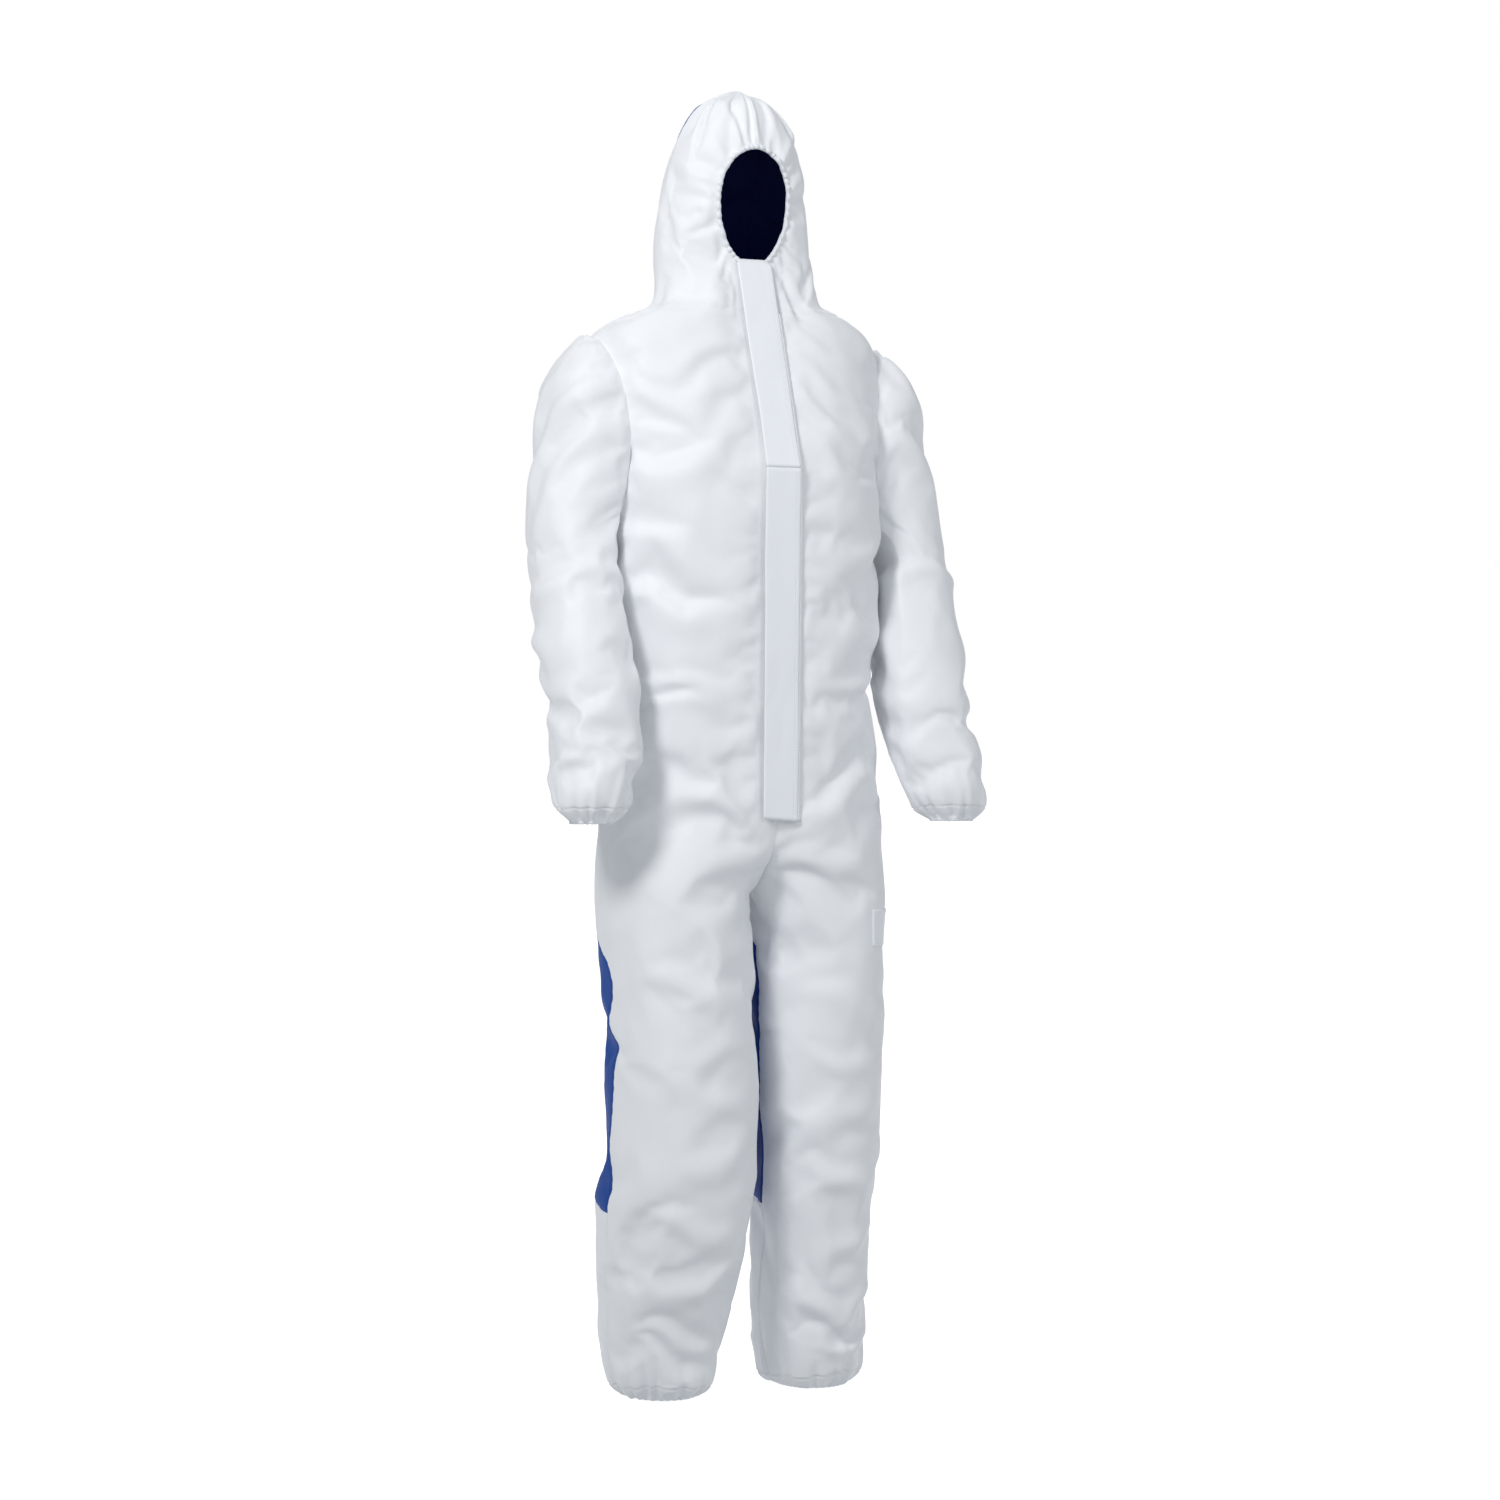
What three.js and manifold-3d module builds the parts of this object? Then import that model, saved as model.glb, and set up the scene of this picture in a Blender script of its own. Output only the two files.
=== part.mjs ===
// Hooded disposable coverall for work with chemicals: white film-laminate cloth with a blue breathable
// back panel, a two-way front zip under a storm flap, and elastic at the face, wrists, waist and ankles.
// Millimetres, +Z up, the wearer faces -Y and the wearer's right is -X.
// Heights below are measured up from the trouser hem. The exported group is lowered by NECK_Z, so its
// origin is the middle of the neck seam, where the suit hangs on the wearer's shoulders.
import * as THREE from "three";
import { mergeVertices } from "three/addons/utils/BufferGeometryUtils.js";
import Module from "manifold-3d";

const wasm = await Module();
wasm.setup();

// ---------- driving dimensions ----------
const HEIGHT = 1742; // from the trouser hem to the crown
const HALF_WIDTH = 200; // half the width over the hips
const WALL = 3; // thickness that stands for one layer of cloth
const SEAM = 0.4; // gap left along every seam, between two pieces
const SEAM_INSET = SEAM / 2 + WALL / 20; // each panel's ends stop this far short of the seam line
const LOOSE = 1.6; // gap between curved pieces that lie on one another, whose facets differ
const ROUND = 2.2; // exponent of the rounded cross-sections, where 2 is an ellipse

const up = (share) => share * HEIGHT;
const wide = (share) => share * HALF_WIDTH;

// levels, up from the hem
const BLUE_END_Z = up(0.146);
const KNEE_Z = up(0.23);
const THIGH_Z = up(0.376);
const CROTCH_Z = up(0.419);
const FORK_Z = up(0.459); // the two legs' front edges part here
const HIP_Z = up(0.488);
const WAIST_Z = up(0.5385);
const BEND_Z = up(0.706); // the zip bends here, from the upright front to the sloping chest
const SHOULDER_Z = up(0.8025);
const NECK_Z = up(0.8285);
const CHIN_Z = up(0.869);
const CROWN_Z = HEIGHT;

// half widths and depths of the body of the suit
const NECK_HALF = 115;
const NECK_BACK = 78;
const SHOULDER_HALF = wide(1.07);
const CHEST_HALF = wide(1.07);
const WAIST_HALF = wide(0.945);
const HIP_HALF = wide(1);
const BACK_DEPTH = 108;

// front line of the suit, which the zip follows: two straight runs
const BEND_FRONT = 135;
const CHIN_FRONT = 42;
const LOWER_SLOPE = 0.021; // forward per mm of height below the bend
const UPPER_SLOPE = (BEND_FRONT - CHIN_FRONT) / (CHIN_Z - BEND_Z); // backward per mm of height above the bend

// blue panel: half angle of its seam, in degrees behind the side
const BLUE_AT_BODY = 38;
const BLUE_AT_LEG = -3;
const BLUE_SIDE_Z = up(0.324); // the seam reaches the side of the leg here
const HOOD_BLUE_HALF = 62; // half width of the hood's blue panel
const HOOD_BLUE_FRONT = 18; // its front edge, behind the middle plane

// sleeves
const CUFF_Z = up(0.4386);
const CUFF_HEIGHT = 22;
const CUFF_RADIUS = 27;
const ELBOW_Z = up(0.58);
const ELBOW_REACH = 65; // the elbow's cloth gives this far above and below its pivot
const SLEEVE_HEAD_Z = up(0.689); // lower end of the sleeve head, which gives as the arm is raised
const SLEEVE_GAP = 6; // between a hanging sleeve and the side of the body
const ARMHOLE = { z: up(0.7245), y: 12, halfHeight: up(0.0643), halfWidth: 62 };

// legs
const ANKLE_HEIGHT = 22; // of the elastic hem
const ANKLE_HALF = 44;
const KNEE_REACH = 80; // the knee's cloth gives this far above and below its pivot
const LEG_GAP = 1.5; // from the middle plane to each leg
const INSEAM_TURN = 25; // least angle of the leg's inner stretch, in degrees before the inside leg seam

// hood
const FACE = { z: up(0.9134), halfWidth: 46, halfHeight: up(0.0448) };
const FACE_ELASTIC = 3.2; // radius of the rolled elastic hem

// zip
const TAPE_EDGE = 13.6; // half width over both tapes
const CHAIN_INNER = 0.8;
const CHAIN_OUTER = 2.9;
const CHAIN_TOP = -0.6; // heights above the cloth's outer face
const CHAIN_DEPTH = 2.4;
const TAPE_THICK = 1.2;
const RUNNING = 0.3; // clearance of the slider round the chain
const PLATE = 1.2;
const SLIDER_HALF_WIDTH = 5;
const SLIDER_HALF_LENGTH = 6;
const BAIL_RISE = 1.8; // height of the window under the slider's bail
const TAB_LENGTH = 30;
const TAB_HALF_WIDTH = 4.2;
const STOP_LENGTH = 3;
const ZIP_TOP_Z = CHIN_Z - 4;
const ZIP_BOTTOM_Z = up(0.441);

// storm flap
const FLAP_FREE_X = -24;
const FLAP_HINGE_X = 26;
const FLAP_THICK = 2;
const FLAP_END_Z = ZIP_BOTTOM_Z - 4;
const FLAP_STITCH = 6; // width of its stitched edge

// patch on the left thigh
const PATCH = { low: up(0.342), high: up(0.371), fromAngle: -66, toAngle: -18, thick: 1.6 };

// colours
const cloth = new THREE.MeshStandardMaterial({ color: 0xf1f3f8, roughness: 0.55, metalness: 0 });
const blueCloth = new THREE.MeshStandardMaterial({ color: 0x0d3f96, roughness: 0.75, metalness: 0 });
const flapCloth = new THREE.MeshStandardMaterial({ color: 0xf6f7fa, roughness: 0.5, metalness: 0 });
const elastic = new THREE.MeshStandardMaterial({ color: 0xe9ebf0, roughness: 0.8, metalness: 0 });
const zipTape = new THREE.MeshStandardMaterial({ color: 0xe6e8ec, roughness: 0.85, metalness: 0 });
const zipPlastic = new THREE.MeshStandardMaterial({ color: 0xf0f1f3, roughness: 0.35, metalness: 0 });
const zipMetal = new THREE.MeshStandardMaterial({ color: 0xc9ccd1, roughness: 0.3, metalness: 0.9 });

// ---------- small helpers ----------
const rad = THREE.MathUtils.degToRad;
const mix = THREE.MathUtils.lerp;
const smooth = (t) => THREE.MathUtils.smoothstep(t, 0, 1);
const rounded = (v) => Math.sign(v) * Math.abs(v) ** (2 / ROUND);
const unrounded = (v) => Math.sign(v) * Math.abs(v) ** (ROUND / 2);

// Distance of the suit's front line ahead of the axis at a height.
function frontLine(z) {
  const rise = z - BEND_Z;
  return BEND_FRONT - (rise > 0 ? rise * UPPER_SLOPE : -rise * LOWER_SLOPE);
}

// Smooth curve through the rows of a table whose first column is the height.
function rowAt(table, z) {
  const last = table.length - 1;
  let i = 0;
  while (i < last - 1 && z > table[i + 1][0]) i += 1;
  const at = (k) => table[THREE.MathUtils.clamp(k, 0, last)];
  const t = (z - at(i)[0]) / (at(i + 1)[0] - at(i)[0]);
  return at(i).map((p1, c) => {
    const p2 = at(i + 1)[c];
    const span = at(i + 1)[0] - at(i)[0];
    const slope = (k) => {
      const before = at(k - 1);
      const after = at(k + 1);
      return (after[c] - before[c]) / Math.max(after[0] - before[0], 1e-6);
    };
    const m1 = slope(i) * span;
    const m2 = slope(i + 1) * span;
    const t2 = t * t;
    const t3 = t2 * t;
    return (2 * t3 - 3 * t2 + 1) * p1 + (t3 - 2 * t2 + t) * m1 + (3 * t2 - 2 * t3) * p2 + (t3 - t2) * m2;
  });
}

// ---------- cross-sections ----------
// A section is { cx, cy, a, front, back, clip }: a rounded oval that is a wide each side of cx, with its
// own depth to the front and to the back, cut off flat where clip says.
const bodyTable = [
  // height, half width, depth of the back
  [CROTCH_Z, HIP_HALF + 2, BACK_DEPTH - 6],
  [HIP_Z, HIP_HALF, BACK_DEPTH - 4],
  [WAIST_Z, WAIST_HALF, BACK_DEPTH - 10],
  [mix(WAIST_Z, BEND_Z, 0.35), WAIST_HALF + 3, BACK_DEPTH - 6],
  [mix(WAIST_Z, BEND_Z, 0.73), CHEST_HALF - 14, BACK_DEPTH],
  [BEND_Z, CHEST_HALF - 2, BACK_DEPTH + 6],
  [mix(BEND_Z, SHOULDER_Z, 0.48), SHOULDER_HALF, BACK_DEPTH + 6],
  [mix(BEND_Z, SHOULDER_Z, 0.79), SHOULDER_HALF - 4, BACK_DEPTH - 4],
  [SHOULDER_Z, SHOULDER_HALF - 34, BACK_DEPTH - 12],
  [mix(SHOULDER_Z, NECK_Z, 0.57), mix(SHOULDER_HALF, NECK_HALF, 0.67), BACK_DEPTH - 22],
  [NECK_Z, NECK_HALF, NECK_BACK],
];

// height, middle in x, middle in y, half width, half depth
const rightLegTable = [
  [0, -wide(0.565), 4, ANKLE_HALF, ANKLE_HALF + 10],
  [ANKLE_HEIGHT, -wide(0.57), 2, 60, 70],
  [up(0.04), -wide(0.575), 0, 71, 81],
  [up(0.075), -wide(0.56), -13, 81, 91],
  [BLUE_END_Z, -wide(0.535), -28, wide(0.48), 105],
  [KNEE_Z, -wide(0.525), -34, wide(0.485), 108],
  [mix(KNEE_Z, THIGH_Z, 0.73), -wide(0.52), -28, wide(0.49), 109],
  [THIGH_Z, -wide(0.515), -18, wide(0.495), 112],
];
const leftLegTable = [
  [0, wide(0.55), 10, ANKLE_HALF, ANKLE_HALF + 10],
  [ANKLE_HEIGHT, wide(0.55), 10, 60, 72],
  [up(0.04), wide(0.55), 9, 70, 83],
  [up(0.075), wide(0.545), 2, 73, 88],
  [BLUE_END_Z, wide(0.55), -12, wide(0.38), 91],
  [KNEE_Z, wide(0.535), -14, wide(0.405), 98],
  [mix(KNEE_Z, THIGH_Z, 0.73), wide(0.525), -15, wide(0.43), 102],
  [THIGH_Z, wide(0.52), -14, wide(0.46), 108],
];

function bodySection(z) {
  const [, a, back] = rowAt(bodyTable, z);
  return { cx: 0, cy: 0, a, front: frontLine(z), back };
}

// One half of the suit, from the neck down into its leg. side is -1 for the wearer's right, 1 for the left.
function halfSection(side, z) {
  const clip = { side, at: side * LEG_GAP };
  if (z >= HIP_Z) return { ...bodySection(z), clip };
  const leg = (height) => {
    const [, cx, cy, a, b] = rowAt(side < 0 ? rightLegTable : leftLegTable, height);
    return { cx, cy, a, front: b, back: b };
  };
  if (z <= THIGH_Z) return { ...leg(z), clip };
  // Between thigh and hip the leg's section changes into the body's, and its front keeps to the front line.
  const top = bodySection(HIP_Z);
  const low = leg(THIGH_Z);
  const share = (height) => smooth((height - THIGH_Z) / (HIP_Z - THIGH_Z));
  const t = share(z);
  const outer = mix(low.cx + side * low.a, side * bodySection(Math.max(z, CROTCH_Z)).a, t);
  const a = mix(low.a, top.a, t);
  const lowFront = low.front - low.cy;
  const ahead = z >= CROTCH_Z ? frontLine(z) : mix(lowFront, frontLine(CROTCH_Z), t / share(CROTCH_Z));
  const cy = mix(low.cy, 0, t);
  return { cx: outer - side * a, cy, a, front: ahead + cy, back: mix(low.back, top.back, t), clip };
}

const sleeveTable = [
  // height, distance from the middle plane, middle in y, half width, half depth
  [CUFF_Z, SHOULDER_HALF + 48, -118, CUFF_RADIUS, CUFF_RADIUS],
  [CUFF_Z + CUFF_HEIGHT, SHOULDER_HALF + 47, -114, 44, 44],
  [mix(CUFF_Z, ELBOW_Z, 0.23), SHOULDER_HALF + 45, -104, 55, 56],
  [mix(CUFF_Z, ELBOW_Z, 0.5), SHOULDER_HALF + 38, -78, 62, 63],
  [mix(CUFF_Z, ELBOW_Z, 0.76), SHOULDER_HALF + 34, -60, 67, 68],
  [ELBOW_Z, SHOULDER_HALF + 32, -45, 70, 70],
  [mix(ELBOW_Z, SLEEVE_HEAD_Z, 0.64), SHOULDER_HALF + 26, -4, 68, 72],
  [mix(SLEEVE_HEAD_Z, SHOULDER_Z, 0.06), SHOULDER_HALF + 16, 10, 71, 80],
  [mix(SLEEVE_HEAD_Z, SHOULDER_Z, 0.45), SHOULDER_HALF + 6, 17, 71, 86],
  [mix(SLEEVE_HEAD_Z, SHOULDER_Z, 0.71), SHOULDER_HALF, 19, 64, 82],
  [mix(SLEEVE_HEAD_Z, SHOULDER_Z, 0.89), SHOULDER_HALF - 2, 20, 46, 66],
  [SHOULDER_Z, SHOULDER_HALF - 8, 21, 22, 36],
];

function sleeveSection(side, z) {
  const [, x, cy, a, b] = rowAt(sleeveTable, z);
  const beside = bodySection(z).a + SLEEVE_GAP;
  return { cx: side * x, cy, a, front: b, back: b, clip: { side, at: side * beside } };
}

// A point of a section at an angle in degrees: 0 is the wearer's left, 90 the back and 270 the front.
function pointOf(section, angle) {
  const c = rounded(Math.cos(rad(angle)));
  const s = rounded(Math.sin(rad(angle)));
  let x = section.cx + section.a * c;
  const y = section.cy + (s < 0 ? section.front : section.back) * s;
  if (section.clip) x = section.clip.side < 0 ? Math.min(x, section.clip.at) : Math.max(x, section.clip.at);
  return new THREE.Vector2(x, y);
}

// The angle on the front where a section reaches x, on the way from its side to the middle.
function frontAngle(section, x) {
  const c = unrounded(THREE.MathUtils.clamp((x - section.cx) / section.a, -1, 1));
  return 360 - THREE.MathUtils.radToDeg(Math.acos(c));
}

function backAngle(section, x) {
  const c = unrounded(THREE.MathUtils.clamp((x - section.cx) / section.a, -1, 1));
  return THREE.MathUtils.radToDeg(Math.acos(c));
}

// Points along a section through a list of angles, evenly spaced between each two, and the same points moved
// inwards by a wall. steps gives the number of spaces in each stretch, and inset draws in the two ends.
function arcOf(section, angles, steps, wall, inset = 0) {
  const fine = 60;
  const line = [];
  const lengths = [];
  for (let k = 0; k < angles.length - 1; k += 1) {
    for (let i = k ? 1 : 0; i <= fine; i += 1) {
      line.push(pointOf(section, mix(angles[k], angles[k + 1], i / fine)));
    }
  }
  line.forEach((p, i) => lengths.push(i ? lengths[i - 1] + p.distanceTo(line[i - 1]) : 0));
  const total = lengths[lengths.length - 1];
  const at = (length) => {
    let i = 1;
    while (i < line.length - 1 && lengths[i] < length) i += 1;
    const t = (length - lengths[i - 1]) / Math.max(lengths[i] - lengths[i - 1], 1e-9);
    return line[i - 1].clone().lerp(line[i], t);
  };
  const outer = [];
  const inner = [];
  steps.forEach((count, k) => {
    const start = Math.max(lengths[k * fine], inset);
    const end = Math.min(lengths[(k + 1) * fine], total - inset);
    for (let i = k ? 1 : 0; i <= count; i += 1) {
      const s = mix(start, end, i / count);
      const p = at(s);
      const along = at(Math.min(s + 2, total)).sub(at(Math.max(s - 2, 0))).normalize();
      outer.push(p);
      inner.push(new THREE.Vector2(p.x - along.y * wall, p.y + along.x * wall));
    }
  });
  return { outer, inner };
}

// ---------- solids from sections ----------
function geometryOf(points, faces) {
  const g = new THREE.BufferGeometry();
  g.setAttribute("position", new THREE.Float32BufferAttribute(points.flat(), 3));
  g.setIndex(faces);
  return g;
}

// Closed solid through rows of points: each row has its outer line and its inner line, from low to high.
// closed joins the ends of the lines, which makes a tube; otherwise the solid is a curved panel.
function loft(rows, closed) {
  const count = rows[0].outer.length;
  const points = [];
  for (const { z, outer, inner } of rows) {
    for (const p of [...outer, ...inner]) points.push([p.x, p.y, z]);
  }
  const at = (row, i, layer) => row * 2 * count + layer * count + (i % count);
  const faces = [];
  const quad = (a, b, c, d) => faces.push(a, b, c, a, c, d);
  const spans = closed ? count : count - 1;
  for (let r = 0; r < rows.length - 1; r += 1) {
    for (let i = 0; i < spans; i += 1) {
      quad(at(r, i, 0), at(r, i + 1, 0), at(r + 1, i + 1, 0), at(r + 1, i, 0));
      quad(at(r, i, 1), at(r + 1, i, 1), at(r + 1, i + 1, 1), at(r, i + 1, 1));
    }
    if (!closed) {
      quad(at(r, 0, 1), at(r, 0, 0), at(r + 1, 0, 0), at(r + 1, 0, 1));
      quad(at(r, count - 1, 0), at(r, count - 1, 1), at(r + 1, count - 1, 1), at(r + 1, count - 1, 0));
    }
  }
  const top = rows.length - 1;
  for (let i = 0; i < spans; i += 1) {
    quad(at(0, i + 1, 0), at(0, i, 0), at(0, i, 1), at(0, i + 1, 1));
    quad(at(top, i, 0), at(top, i + 1, 0), at(top, i + 1, 1), at(top, i, 1));
  }
  return geometryOf(points, faces);
}

// Heights from low to high, a seam's gap inside both ends, with rows no further apart than step.
function levels(low, high, step, through = []) {
  const marks = [low + SEAM / 2, ...through.filter((z) => z > low && z < high), high - SEAM / 2];
  const found = [marks[0]];
  for (let i = 1; i < marks.length; i += 1) {
    const n = Math.max(1, Math.ceil((marks[i] - marks[i - 1]) / step));
    for (let k = 1; k <= n; k += 1) found.push(mix(marks[i - 1], marks[i], k / n));
  }
  return found;
}

// Curved panel between two heights. anglesAt(z, section) gives the angles it runs through, from end to end.
function panel(sectionAt, anglesAt, heights, steps, wall = WALL, grow = 0) {
  const rows = heights.map((z) => {
    const section = sectionAt(z);
    const { a, front, back } = section;
    const grown = { ...section, a: a + grow, front: front + grow, back: back + grow };
    return { z, ...arcOf(grown, anglesAt(z, section), steps, wall, SEAM_INSET) };
  });
  return loft(rows, false);
}

// Tube between two heights.
function tube(sectionAt, heights, steps, wall = WALL) {
  const rows = heights.map((z) => {
    const { outer, inner } = arcOf(sectionAt(z), [0, 360], [steps], wall);
    return { z, outer: outer.slice(0, -1), inner: inner.slice(0, -1) };
  });
  return loft(rows, true);
}

// ---------- booleans ----------
function solidOf(geometry) {
  const bare = new THREE.BufferGeometry().setAttribute("position", geometry.getAttribute("position"));
  if (geometry.index) bare.setIndex(geometry.index);
  const merged = mergeVertices(bare, 1e-3);
  return new wasm.Manifold(
    new wasm.Mesh({
      numProp: 3,
      vertProperties: new Float32Array(merged.attributes.position.array),
      triVerts: new Uint32Array(merged.index.array),
    }),
  );
}

function geometryFrom(solid) {
  const mesh = solid.getMesh();
  const g = new THREE.BufferGeometry();
  g.setAttribute("position", new THREE.BufferAttribute(new Float32Array(mesh.vertProperties), 3));
  g.setIndex(new THREE.BufferAttribute(new Uint32Array(mesh.triVerts), 1));
  return g;
}

const cut = (geometry, tool) => geometryFrom(solidOf(geometry).subtract(solidOf(tool)));
const join = (...parts) => geometryFrom(parts.map(solidOf).reduce((s, t) => s.add(t)));

function box(x0, x1, y0, y1, z0, z1) {
  const block = new THREE.BoxGeometry(x1 - x0, y1 - y0, z1 - z0);
  return block.translate((x0 + x1) / 2, (y0 + y1) / 2, (z0 + z1) / 2);
}

// ---------- the assembly ----------
const suit = new THREE.Group();
suit.position.z = -NECK_Z;

function add(name, geometry, material, parent = suit) {
  const mesh = new THREE.Mesh(geometry, material);
  mesh.name = name;
  parent.add(mesh);
  return mesh;
}

// Cylinder through the sides of the body and the inner walls of the sleeves, which open into each other.
function armholeTool() {
  const length = 2 * (SHOULDER_HALF + SLEEVE_GAP + 4 * WALL);
  return new THREE.CylinderGeometry(1, 1, length, 20)
    .rotateZ(Math.PI / 2)
    .scale(1, ARMHOLE.halfWidth, ARMHOLE.halfHeight)
    .translate(0, ARMHOLE.y, ARMHOLE.z);
}

// Angle of the blue panel's seam behind the side, which moves to the side seam down the thigh.
const blueSeam = (z) => mix(BLUE_AT_LEG, BLUE_AT_BODY, smooth((z - BLUE_SIDE_Z) / (HIP_Z - BLUE_SIDE_Z)));

const sideSeam = (side, z) => (side < 0 ? 180 - blueSeam(z) : blueSeam(z));

// How far the inside leg seams have closed at a height: hardly at all at the fork, wholly at the crotch.
const closed = (z) => THREE.MathUtils.clamp((FORK_Z - z) / (FORK_Z - CROTCH_Z), 0.02, 1);

// Angles of a half's front or back: from the blue seam to the middle plane, and on along that plane to the
// inside leg seam as far as it has closed. facing is -1 for the front and 1 for the back. They always grow.
function halfAngles(side, facing, z, section) {
  const inseam = side < 0 ? (facing < 0 ? 360 : 0) : 180;
  const turn = side * -facing; // the way round from the inside leg seam to the middle of the front or back
  const meets = facing < 0 ? frontAngle(section, side * LEG_GAP) : backAngle(section, side * LEG_GAP);
  const corner = Math.max(turn * (meets - inseam), INSEAM_TURN);
  const depth = Math.sin(rad(corner)) ** (2 / ROUND) * (1 - closed(z));
  const end = THREE.MathUtils.radToDeg(Math.asin(depth ** (ROUND / 2)));
  const seam = sideSeam(side, z) + (side > 0 && facing < 0 ? 360 : 0);
  const angles = [seam, inseam + turn * corner, inseam + turn * end];
  return angles[0] < angles[1] ? angles : angles.reverse();
}

const stepsFor = (side, round, flat, reversed) => (side < 0 !== reversed ? [round, flat] : [flat, round]);

const NAMES = { "-1": "right", 1: "left" };

function buildBody() {
  const turns = [BEND_Z, mix(BEND_Z, SHOULDER_Z, 0.79), SHOULDER_Z, mix(SHOULDER_Z, NECK_Z, 0.57)];
  const bodyLevels = levels(HIP_Z, NECK_Z, 95, turns);
  const hipLevels = levels(THIGH_Z, HIP_Z, 40, [CROTCH_Z, FORK_Z]);
  for (const side of [-1, 1]) {
    const name = NAMES[side];
    const section = (z) => halfSection(side, z);
    const toZip = (z, s) => {
      const ends = [sideSeam(side, z) + (side < 0 ? 0 : 360), frontAngle(s, side * (TAPE_EDGE + SEAM))];
      return side < 0 ? ends : ends.reverse();
    };
    add(`${name}_front_panel`, cut(panel(section, toZip, bodyLevels, [9]), armholeTool()), cloth);
    const around = (facing) => (z, s) => halfAngles(side, facing, z, s);
    const front = panel(section, around(-1), hipLevels, stepsFor(side, 8, 3, false));
    add(`${name}_hip_front`, cut(front, zipWell()), cloth);
    const back = panel(section, around(1), hipLevels, stepsFor(side, 6, 3, true));
    add(`${name}_hip_back`, back, blueCloth);
  }
  const backSection = (z) => bodySection(z);
  const across = (z) => [sideSeam(1, z), sideSeam(-1, z)];
  add("back_panel", cut(panel(backSection, across, bodyLevels, [10]), armholeTool()), blueCloth);
  const waistSection = (z) => {
    const s = bodySection(z);
    return { ...s, a: s.a - WALL - LOOSE, back: s.back - WALL - LOOSE };
  };
  const waistSpan = () => [BLUE_AT_BODY + 4, 176 - BLUE_AT_BODY];
  add("waist_elastic", panel(waistSection, waistSpan, [WAIST_Z - 6, WAIST_Z + 6], [8], 1.5), elastic);
}

// ---------- the zip ----------
// Direction and outward normal of the zip's two runs, as (y, z).
const runs = [
  { slope: LOWER_SLOPE, low: ZIP_BOTTOM_Z, high: BEND_Z },
  { slope: -UPPER_SLOPE, low: BEND_Z, high: ZIP_TOP_Z },
].map((run) => {
  const up = new THREE.Vector2(-run.slope, 1).normalize();
  return { ...run, up, out: new THREE.Vector2(-up.y, up.x) };
});

// The point (y, z) that stands a height above the suit's front line at z.
function aboveFront(z, height) {
  const base = new THREE.Vector2(-frontLine(z), z);
  const [lower, upper] = runs;
  if (z !== BEND_Z) return base.addScaledVector(z < BEND_Z ? lower.out : upper.out, height);
  const middle = lower.out.clone().add(upper.out).normalize();
  return base.addScaledVector(middle, height / middle.dot(lower.out));
}

// Strip along the front line, between two x, two heights above the cloth and two levels.
function strip(x0, x1, low, high, z0, z1) {
  const marks = [z0, ...(z0 < BEND_Z && z1 > BEND_Z ? [BEND_Z] : []), z1];
  const upper = marks.map((z) => aboveFront(z, high));
  const lower = marks.reverse().map((z) => aboveFront(z, low));
  const shape = new THREE.Shape([...upper, ...lower].map((p) => new THREE.Vector2(-p.x, p.y)));
  const g = new THREE.ExtrudeGeometry(shape, { depth: x1 - x0, bevelEnabled: false });
  const place = new THREE.Matrix4().makeBasis(
    new THREE.Vector3(0, -1, 0),
    new THREE.Vector3(0, 0, 1),
    new THREE.Vector3(-1, 0, 0),
  );
  return g.applyMatrix4(place).translate(x1, 0, 0);
}

// Room for the lower end of the zip in the hip's cloth.
function zipWell() {
  const x = TAPE_EDGE + SEAM;
  return strip(-x, x, -WALL * 3, WALL * 3, ZIP_BOTTOM_Z - 6, HIP_Z + 10);
}

function buildZip() {
  const chainBottom = CHAIN_TOP - CHAIN_DEPTH;
  const tapeLow = (CHAIN_TOP + chainBottom - TAPE_THICK) / 2;
  for (const side of [-1, 1]) {
    const name = NAMES[side];
    const between = (a, b) => (side < 0 ? [-b, -a] : [a, b]);
    const tape = between(CHAIN_OUTER + SEAM, TAPE_EDGE);
    const tapeHigh = tapeLow + TAPE_THICK;
    add(`zip_tape_${name}`, strip(...tape, tapeLow, tapeHigh, ZIP_BOTTOM_Z, ZIP_TOP_Z), zipTape);
    const chain = [...between(CHAIN_INNER, CHAIN_OUTER), chainBottom, CHAIN_TOP];
    const chainLow = ZIP_BOTTOM_Z + STOP_LENGTH + SEAM;
    const chainHigh = ZIP_TOP_Z - STOP_LENGTH - SEAM;
    add(`zip_teeth_${name}`, strip(...chain, chainLow, chainHigh), zipPlastic);
    add(`zip_top_stop_${name}`, strip(...chain, chainHigh + SEAM, ZIP_TOP_Z), zipMetal);
  }
  const stopTop = ZIP_BOTTOM_Z + STOP_LENGTH;
  const stop = strip(-CHAIN_OUTER, CHAIN_OUTER, chainBottom, CHAIN_TOP, ZIP_BOTTOM_Z, stopTop);
  add("zip_bottom_stop", stop, zipMetal);
}

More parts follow.
